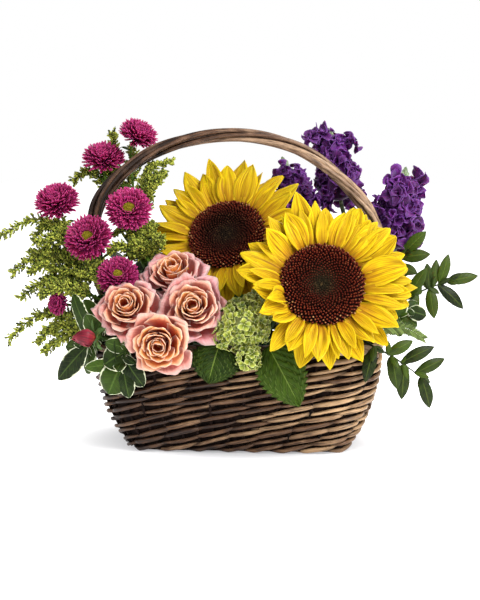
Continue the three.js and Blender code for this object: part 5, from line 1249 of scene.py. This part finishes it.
# %% Branches
BRANCHES = {
    "pittosporum_low_left": ((-85, -38), 1.7, (-0.1, -0.95, 0.3), (
        (-104, -58, 119), (-105, -80, 120), (-107, -97, 105), (-104, -102, 84)), (
        ((-97, -96, 96), (-116, -101, 85), 11), ((-100, -99, 87), (-112, -104, 59), 12),
        ((-98, -99, 92), (-80, -103, 66), 8), ((-101, -98, 86), (-134, -98, 82), 5.5),
        ((-95, -95, 99), (-115, -98, 105), 6), ((-99, -100, 84), (-93, -106, 56), 7),
    )),
    "pittosporum_left": ((-85, -26), 1.7, (-0.35, -0.9, 0.25), (
        (-121, -36, 112), (-131, -60, 110), (-135, -76, 103), (-143, -73, 97)), (
        ((-136, -75, 98), (-164, -70, 66), 8.5), ((-127, -73, 102), (-150, -62, 144), 7),
        ((-122, -74, 103), (-136, -76, 128), 7.5), ((-140, -72, 97), (-158, -60, 96), 6),
        ((-132, -70, 99), (-138, -62, 70), 8), ((-126, -64, 108), (-142, -52, 138), 10),
        ((-122, -50, 110), (-128, -40, 142), 10), ((-130, -74, 104), (-120, -80, 124), 7),
    )),
    "pittosporum_right": ((84, -30), 1.6, (0.3, -0.9, 0.3), (
        (128, -20, 112), (146, -22, 120), (156, -21, 124), (160, -21, 124)), (
        ((157, -22, 127), (174, -22, 122), 6.5), ((154, -20, 125), (166, -14, 134), 5.5),
        ((150, -21, 122), (166, -20, 112), 5), ((138, -21, 117), (156, -24, 137), 7),
        ((146, -22, 120), (150, -26, 103), 6),
    )),
    "myrtle_upper": ((82, -6), 1.4, (0.1, -0.96, 0.25), (
        (118, -26, 114), (140, -19, 128), (164, -8, 140.5), (177, -6, 146.5), (195, -4, 152.5)), (
        ((195, -4, 152.5), (223, -2, 158), 5.4), ((187, -5, 150.5), (195, -2, 178), 5.2),
        ((181, -6, 148.5), (184, -1, 173), 4.6), ((177, -6, 146.5), (175, -8, 170), 5),
        ((169, -8, 142.5), (161, -12, 154), 5), ((158, -8, 138), (174, -14, 166), 6),
        ((186, -5, 149), (210, -6, 127), 6), ((178, -6, 146), (182, -10, 118), 6),
        ((166, -8, 141), (157, -14, 117), 5.5), ((140, -19, 128), (158, -16, 152), 6),
        ((146, -17, 131), (140, -14, 160), 6), ((150, -15, 133), (164, -10, 118), 5.5),
        ((132, -21, 123), (146, -24, 104), 5.5),
    )),
    "myrtle_lower": ((78, -40), 1.4, (0.05, -0.97, 0.25), (
        (112, -66, 106), (126, -84, 101), (144, -82, 91), (168, -74, 72.5)), (
        ((138, -84, 95), (160, -80, 107), 5.5), ((150, -80, 87), (179, -76, 101), 6),
        ((163, -76, 77), (189, -72, 90), 5.5), ((141, -84, 92.5), (146, -88, 64), 6.4),
        ((152, -80, 85), (150, -84, 54), 6.4), ((168, -74, 72.5), (176, -72, 44), 6),
        ((125, -86, 101), (117, -95.5, 71), 6.2),
    )),
    "myrtle_top_right": ((76, 4), 1.4, (0.2, -0.9, 0.4), (
        (118, 22, 134), (138, 18, 156), (149, 10, 171), (154, 6, 178), (158, 5, 182)), (
        ((155, 5, 180), (174, 2, 199), 6.2), ((152, 4, 174), (178, 0, 178), 6.4),
        ((147, 5, 166), (166, -4, 160), 6), ((142, 16, 160), (126, 22, 178), 5.6),
        ((140, 17, 157), (164, 12, 162), 6), ((130, 20, 147), (150, 16, 140), 6.5),
        ((136, 18, 153), (140, 14, 178), 6),
    )),
    "greenery_back_left": ((-58, 54), 1.8, (-0.2, 0.9, 0.4), (
        (-66, 70, 108), (-76, 84, 124), (-84, 90, 140), (-90, 92, 152)), (
        ((-90, 92, 152), (-104, 96, 180), 9), ((-86, 91, 145), (-118, 94, 150), 9),
        ((-84, 90, 141), (-56, 94, 154), 9), ((-79, 86, 131), (-108, 98, 118), 10),
        ((-76, 85, 126), (-46, 98, 116), 10), ((-70, 76, 114), (-66, 104, 90), 11),
    )),
    "greenery_back_middle": ((6, 56), 1.8, (0, 0.92, 0.4), (
        (2, 70, 110), (4, 84, 130), (6, 88, 152), (8, 88, 172)), (
        ((8, 88, 172), (14, 90, 204), 10), ((7, 88, 162), (-24, 92, 178), 10),
        ((7, 88, 160), (38, 92, 172), 10), ((5, 86, 142), (34, 98, 132), 11),
        ((4, 82, 126), (-24, 104, 110), 12), ((3, 76, 118), (28, 104, 98), 11),
    )),
    "greenery_back_right": ((62, 54), 1.8, (0.2, 0.9, 0.4), (
        (70, 70, 108), (82, 82, 124), (92, 86, 140), (98, 86, 156)), (
        ((98, 86, 156), (110, 88, 186), 9), ((95, 87, 148), (126, 86, 160), 9),
        ((94, 87, 145), (66, 94, 158), 9), ((86, 84, 130), (116, 94, 122), 10),
        ((84, 83, 127), (54, 100, 120), 10), ((76, 76, 115), (78, 104, 92), 11),
    )),
}
KINDS = {
    "pittosporum": (pittosporum_green, "pittosporum_leaf", OVAL, 0.16, 1.18),
    "myrtle": (myrtle_green, "myrtle_leaf", LANCE, 0.05, 1.0),
    "greenery": (backing_green, "backing_leaf", OVAL, 0.08, 1.1),
}
UNDERGROWTH = {
    "greenery_back_left": ((-84, 34, 70), (-66, 8, 62), (-90, -6, 56), (-58, 50, 78), (-96, 14, 60),
                           (-76, -22, 50), (-40, 60, 84), (-98, 40, 66), (-104, -30, 70),
                           (-110, -14, 74), (-92, -34, 84), (-100, 18, 96), (-78, 0, 96)),
    "greenery_back_middle": ((-20, 66, 86), (4, 46, 84), (24, 64, 88), (-30, 36, 76), (44, 42, 80),
                             (-44, 16, 66), (-46, -18, 56), (20, 8, 58)),
    "greenery_back_right": ((62, 60, 86), (84, 48, 78), (98, 30, 70), (94, 4, 60), (76, 14, 66),
                            (100, -16, 52), (66, 34, 80), (92, -34, 44)),
}
for number, (name, (hole, radius, facing, line, leaves)) in enumerate(BRANCHES.items()):
    luck, twig = np.random.default_rng(71 + number), Skin()
    finish, slot, outline, wave, broad = KINDS[name.split("_")[0]]
    first, second = curve_through(line, 5)[:2]
    start, leaving = behind(first, second - first, -1)
    add_stem(twig, radius * 0.9, to_foam(name, start, leaving, hole), 0.3)
    bough = curve_through([start, *line], 24)
    twig.tube(bough, np.linspace(radius, 0.55, len(bough)), 8, 0.2)
    for root, tip, half in leaves:
        root, tip = np.array(root, float), np.array(tip, float)
        toward = unit(facing + luck.uniform(-0.18, 0.18, 3))
        twig.sheet(leaf(root, tip, half * broad, toward, outline=outline, rows=17, columns=11,
                        arch=luck.uniform(0.04, 0.1), cup=-luck.uniform(0.05, 0.25),
                        curl=-luck.uniform(0, 0.06), wave=wave, start=luck.uniform(0, 6)), 0.6,
                   luck.uniform(0.1, 0.9))
        for extra in range(2):
            length = np.linalg.norm(tip - root) * luck.uniform(0.35, 0.55)
            aim = unit((tip - root) / np.linalg.norm(tip - root) + luck.uniform(-0.9, 0.9, 3))
            start = root - aim * 1.5
            toward = unit(facing + luck.uniform(-0.4, 0.4, 3))
            twig.sheet(leaf(start, start + aim * length, half * 0.5, toward, outline=outline, rows=11,
                            columns=7, arch=0.08, cup=-0.15, wave=wave, start=extra),
                       0.5, luck.uniform(0.2, 1))
    for x, y, height in UNDERGROWTH.get(name, ()):
        root = np.array((x, y, FOAM_TOP + 3))
        for k in range(5):
            out = spoke(k * 2.4 + x)
            start = root + np.array((0, 0, height * (0.15 + 0.12 * k))) + out * 2
            end = start + out * height * 0.34 + np.array((0, 0, height * 0.34))
            twig.sheet(leaf(start, end, height * 0.13, (-out[0], -out[1], 1.2), outline=OVAL, rows=11,
                            columns=7, arch=0.1, cup=-0.15, wave=0.1, start=k), 0.5,
                       luck.uniform(0, 0.8))
        twig.tube(np.array((root, root + (0, 0, height * 0.8))), (1.2, 0.6), 7, 0.3)
    twig.build(name + "_leaves", finish, slot, name)

# %% Fern
luck, fern = np.random.default_rng(90), Skin()
midrib = ((124, -38, 111), (140, -36, 113), (157, -32, 110), (171, -29, 102))
start, leaving = behind(midrib[0], (0.98, 0.114, 0.164), -0.6)
add_stem(fern, 1.3, to_foam("fern_frond", start, leaving, (81.4, -16.7)), 0.5)
frond = curve_through(midrib, 26)
fern.tube(frond, np.linspace(1.1, 0.4, 27), 7, 0.5)
for i in range(2, 27):
    way = unit(frond[min(i + 1, 26)] - frond[i - 1])
    side = unit(np.cross(way, (0.15, -1, 0.35)))
    for hand in (-1, 1):
        length = mix(13, 6, i / 26) * luck.uniform(0.85, 1.1)
        aim = unit(side * hand + way * mix(0.7, 1.4, i / 26))
        fern.sheet(leaf(frond[i], frond[i] + aim * length, 0.85, (0.15, -1, 0.35), outline=LANCE,
                        rows=11, columns=5, arch=0.05, wave=0.25, start=i), 0.4, luck.uniform(0, 1))
fern.build("fern_leaflets", fern_green, "fern_leaf", "fern_frond")

# %% [markdown]
# ## Stems, cups and bracts
# What holds each flower is partly hidden, but it is there: thick sunflower stems with a cup of
# bracts, branching rose stems with sepals, thin aster stems, the leafy hydrangea stem, and the
# stock shafts with their green buds. Each of them goes down into the foam through its own hole.

# %% Sunflower stems and bracts
for name, flower in SUNFLOWERS.items():
    luck, green = np.random.default_rng(flower["seed"] + 4), Skin()
    at, facing, size = flower["at"], flower["facing"], flower["disc"]
    add_stem(green, 4.2, to_foam(name, *behind(at, facing, 15), flower["hole"]), 0.5)
    spin_solid(green, [(-17, 4.6), (-13, 12), (-8, 26), (-4, size * 0.86), (0.2, size * 0.9),
                       (0.9, size * 0.7)], at, facing, 32, 0.4)
    for layer, (count, reach, rise) in enumerate(((19, 17, 0.0), (17, 14, -0.35))):
        for k in range(count):
            angle = 2 * math.pi * (k + 0.5 * layer + luck.uniform(-0.2, 0.2)) / count
            grid = petal(reach * luck.uniform(0.85, 1.1), 5.6, LANCE, 10, 5, 0.05, 0.2,
                         luck.uniform(-0.25, 0.05), luck.uniform(-0.3, 0.3))
            foot, height = size * (0.82 - 0.12 * layer), -2.5 - 4 * layer
            green.sheet(ray(grid, foot, height, rise, angle, at, facing), 0.8,
                        luck.uniform(0.1, 0.9))
    green.build(name + "_stem_and_bracts", sepal_green, "sunflower_green", name + "_stem")

# %% Rose and aster stems
def add_cup(skin, base, facing, radius, sepals, length, luck):
    """The green cup under a flower, with pointed sepals that spread behind it."""
    spin_solid(skin, [(-radius * 1.25, 0.6), (-radius * 1.05, radius * 0.55),
                      (-radius * 0.5, radius * 0.8), (-0.3, radius)], base, facing, 14, 0.5)
    for k in range(sepals):
        grid = petal(length * luck.uniform(0.85, 1.1), length * 0.2, LANCE, 9, 5, 0.06, 0.3,
                     luck.uniform(-0.3, 0.1), 0)
        rise, angle = luck.uniform(-0.25, 0.05), 2 * math.pi * k / sepals + 0.4
        grid = ray(grid, radius * 0.75, -0.9, rise, angle, base, facing)
        skin.sheet(grid, 0.5, luck.uniform(0.2, 0.8))


luck = np.random.default_rng(95)
ROSE_STEMS = {
    "rose_stem_right": ((-42, -60, 112), (-38, -40), ("rose_right", "rose_top")),
    "rose_stem_left": ((-86, -62, 112), (-72, -44), ("rose_bottom", "rose_left")),
}
BUD_STEM_FACING = (-0.85, -0.45, 0.22)  # the bud nods a little on its stem
for name, (fork, hole, heads) in ROSE_STEMS.items():
    green = Skin()
    for head in heads:
        add_stem(green, 2, to_fork(*behind(rose_base(head), ROSES[head][1], 6.5), fork), 0.4)
    if name == "rose_stem_left":
        add_stem(green, 2, to_fork(*behind(BUD_AT, BUD_STEM_FACING, 6.5), fork), 0.4)
    add_stem(green, 2.4, to_foam(name, fork, (0, 0.1, -1), hole), 0.4)
    for head in heads:
        add_cup(green, rose_base(head), ROSES[head][1], 7.4, 5, 15, luck)
    if name == "rose_stem_left":
        add_cup(green, np.array(BUD_AT, float), BUD_FACING, 5.4, 5, 14, luck)
    green.build(name + "_and_sepals", sepal_green, "rose_green", name)

ASTER_STEMS = {
    "aster_stem_front": ((-103, -26, 140), (-76, -14),
                         ("aster_front_upper", "aster_front_middle", "aster_front_lower")),
    "aster_stem_left": ((-112, -20, 130), (-79.5, -7), ("aster_left", "aster_low_left")),
    "aster_stem_back": ((-104, 34, 190), (-72, 30), ("aster_back_top", "aster_back")),
}
for name, (fork, hole, heads) in ASTER_STEMS.items():
    green = Skin()
    ways = [to_fork(*behind(*ASTERS[head][:2], 5), fork) for head in heads]
    ways.append(to_foam(name, fork, (0.1, 0, -1), hole))
    for points in ways:
        add_stem(green, 1.3 if len(points) == 4 else 1.7, points, 0.6)
    for head in heads:
        add_cup(green, np.array(ASTERS[head][0], float), ASTERS[head][1], 4, 11, 6, luck)
    for points in ways:
        path = curve_through(points, 40)
        for i in range(14, len(path) - 2, 2):
            angle = i * 1.2 + luck.uniform(-0.4, 0.4)
            out = np.array((math.cos(angle), -abs(math.sin(angle)) * 0.6, luck.uniform(0.1, 0.7)))
            tip = path[i] + unit(out) * luck.uniform(8, 15)
            green.sheet(leaf(path[i], tip, luck.uniform(1.4, 2.2), (0, -0.8, 0.6), outline=LANCE, rows=9,
                             arch=0.08, curl=-0.1), 0.4, luck.uniform(0, 0.6))
    green.build(name + "_and_cups", stem_green, "aster_green", name)

# %% Stock shafts and buds
for name, (top, foot, _, _, hole) in STOCKS.items():
    shaft = Skin()
    top, foot = np.array(top, float), np.array(foot, float)
    axis = unit(top - foot)
    add_stem(shaft, 2, to_foam(name, *behind(foot, axis, 7), hole), 0.3)
    shaft.tube(np.linspace(foot - axis * 9, top + axis * 9, 9), 1.9, 9, 0.5)
    for k in range(15):
        share = k / 14
        way = unit(axis + aside(axis, k * GOLDEN_ANGLE) * mix(1.0, 0.15, share))
        size = mix(2.6, 1.4, share)
        at = top + axis * mix(0, 9, share) + way * size * 1.3
        bead(shaft, at, way, size, 1 - 0.7 * share, 1.35, 8)
    shaft.build(name + "_stem_and_buds", bud_green, "stock_green", name + "_stem")

# %% Hydrangea stem and leaves
luck, green = np.random.default_rng(97), Skin()
way_in = to_foam("hydrangea", *behind(HYDRANGEA_AT, HYDRANGEA_FACING, 7.5), (8, -46))
add_stem(green, 2.8, way_in, 0.4)
spin_solid(green, [(-9, 2.4), (-4, 4.5), (-0.35, 7)], HYDRANGEA_AT, HYDRANGEA_FACING, 14, 0.4)
BLADE = ((0, 0.13, 0.34, 0.56, 0.77, 0.9, 1), (0.22, 0.78, 1.04, 0.98, 0.66, 0.36, 0.03))
STALKS = (((8, -48, 97), (-14, -70, 106), (-15, -90, 106), (-13, -97, 102)),
          ((8, -48, 97), (32, -70, 106), (35, -90, 105), (32, -96.5, 101)))
for points in STALKS:
    green.tube(curve_through(points, 16), 1.6, 8, 0.5)
for root, tip, half, start in (((-13, -96, 103), (-22, -107, 70), 24, 0.0),
                               ((31, -95.5, 102), (60, -107, 50), 23, 2.0)):
    share = np.linspace(0, 1, 61)
    teeth = 1 - 0.2 * ((share * 12) % 1) * (share > 0.08)
    whole = np.interp(share, *BLADE)
    grid = leaf(root, tip, half, (0, -1, 0.35), outline=tuple(zip(share, whole * teeth)), rows=61,
                columns=25, arch=0.07, cup=-0.16, curl=-0.05, wave=0.05, start=start)
    off = np.abs(np.linspace(-1, 1, 25))[None]
    panel = (share[:, None] - 0.45 * off) * 7 % 1
    puff = np.sin(math.pi * panel) * np.clip(off * 4, 0, 1) * (1 - off ** 6)
    grid = grid + unit((0, -1, 0.35)) * (2.3 * puff)[..., None]
    green.sheet(grid, 0.8, 0.35 + 0.3 * (start > 0))
green.build("hydrangea_stem_and_leaves", hydrangea_green, "hydrangea_leaf", "hydrangea_stem")

# %% [markdown]
# The finer pieces should fill the same box as the measured solids. Both boxes are printed at the end.

# %% Print the two boxes
visual_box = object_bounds()
size = {"measured_m": [[float(c) for c in corner] for corner in cad_box],
        "visual_m": [[float(c) for c in corner] for corner in visual_box]}
for axis, low, high, new_low, new_high in zip("xyz", *cad_box, *visual_box):
    print(axis, "measured", round(low * 1000), round(high * 1000), "visual", round(new_low * 1000),
          round(new_high * 1000))
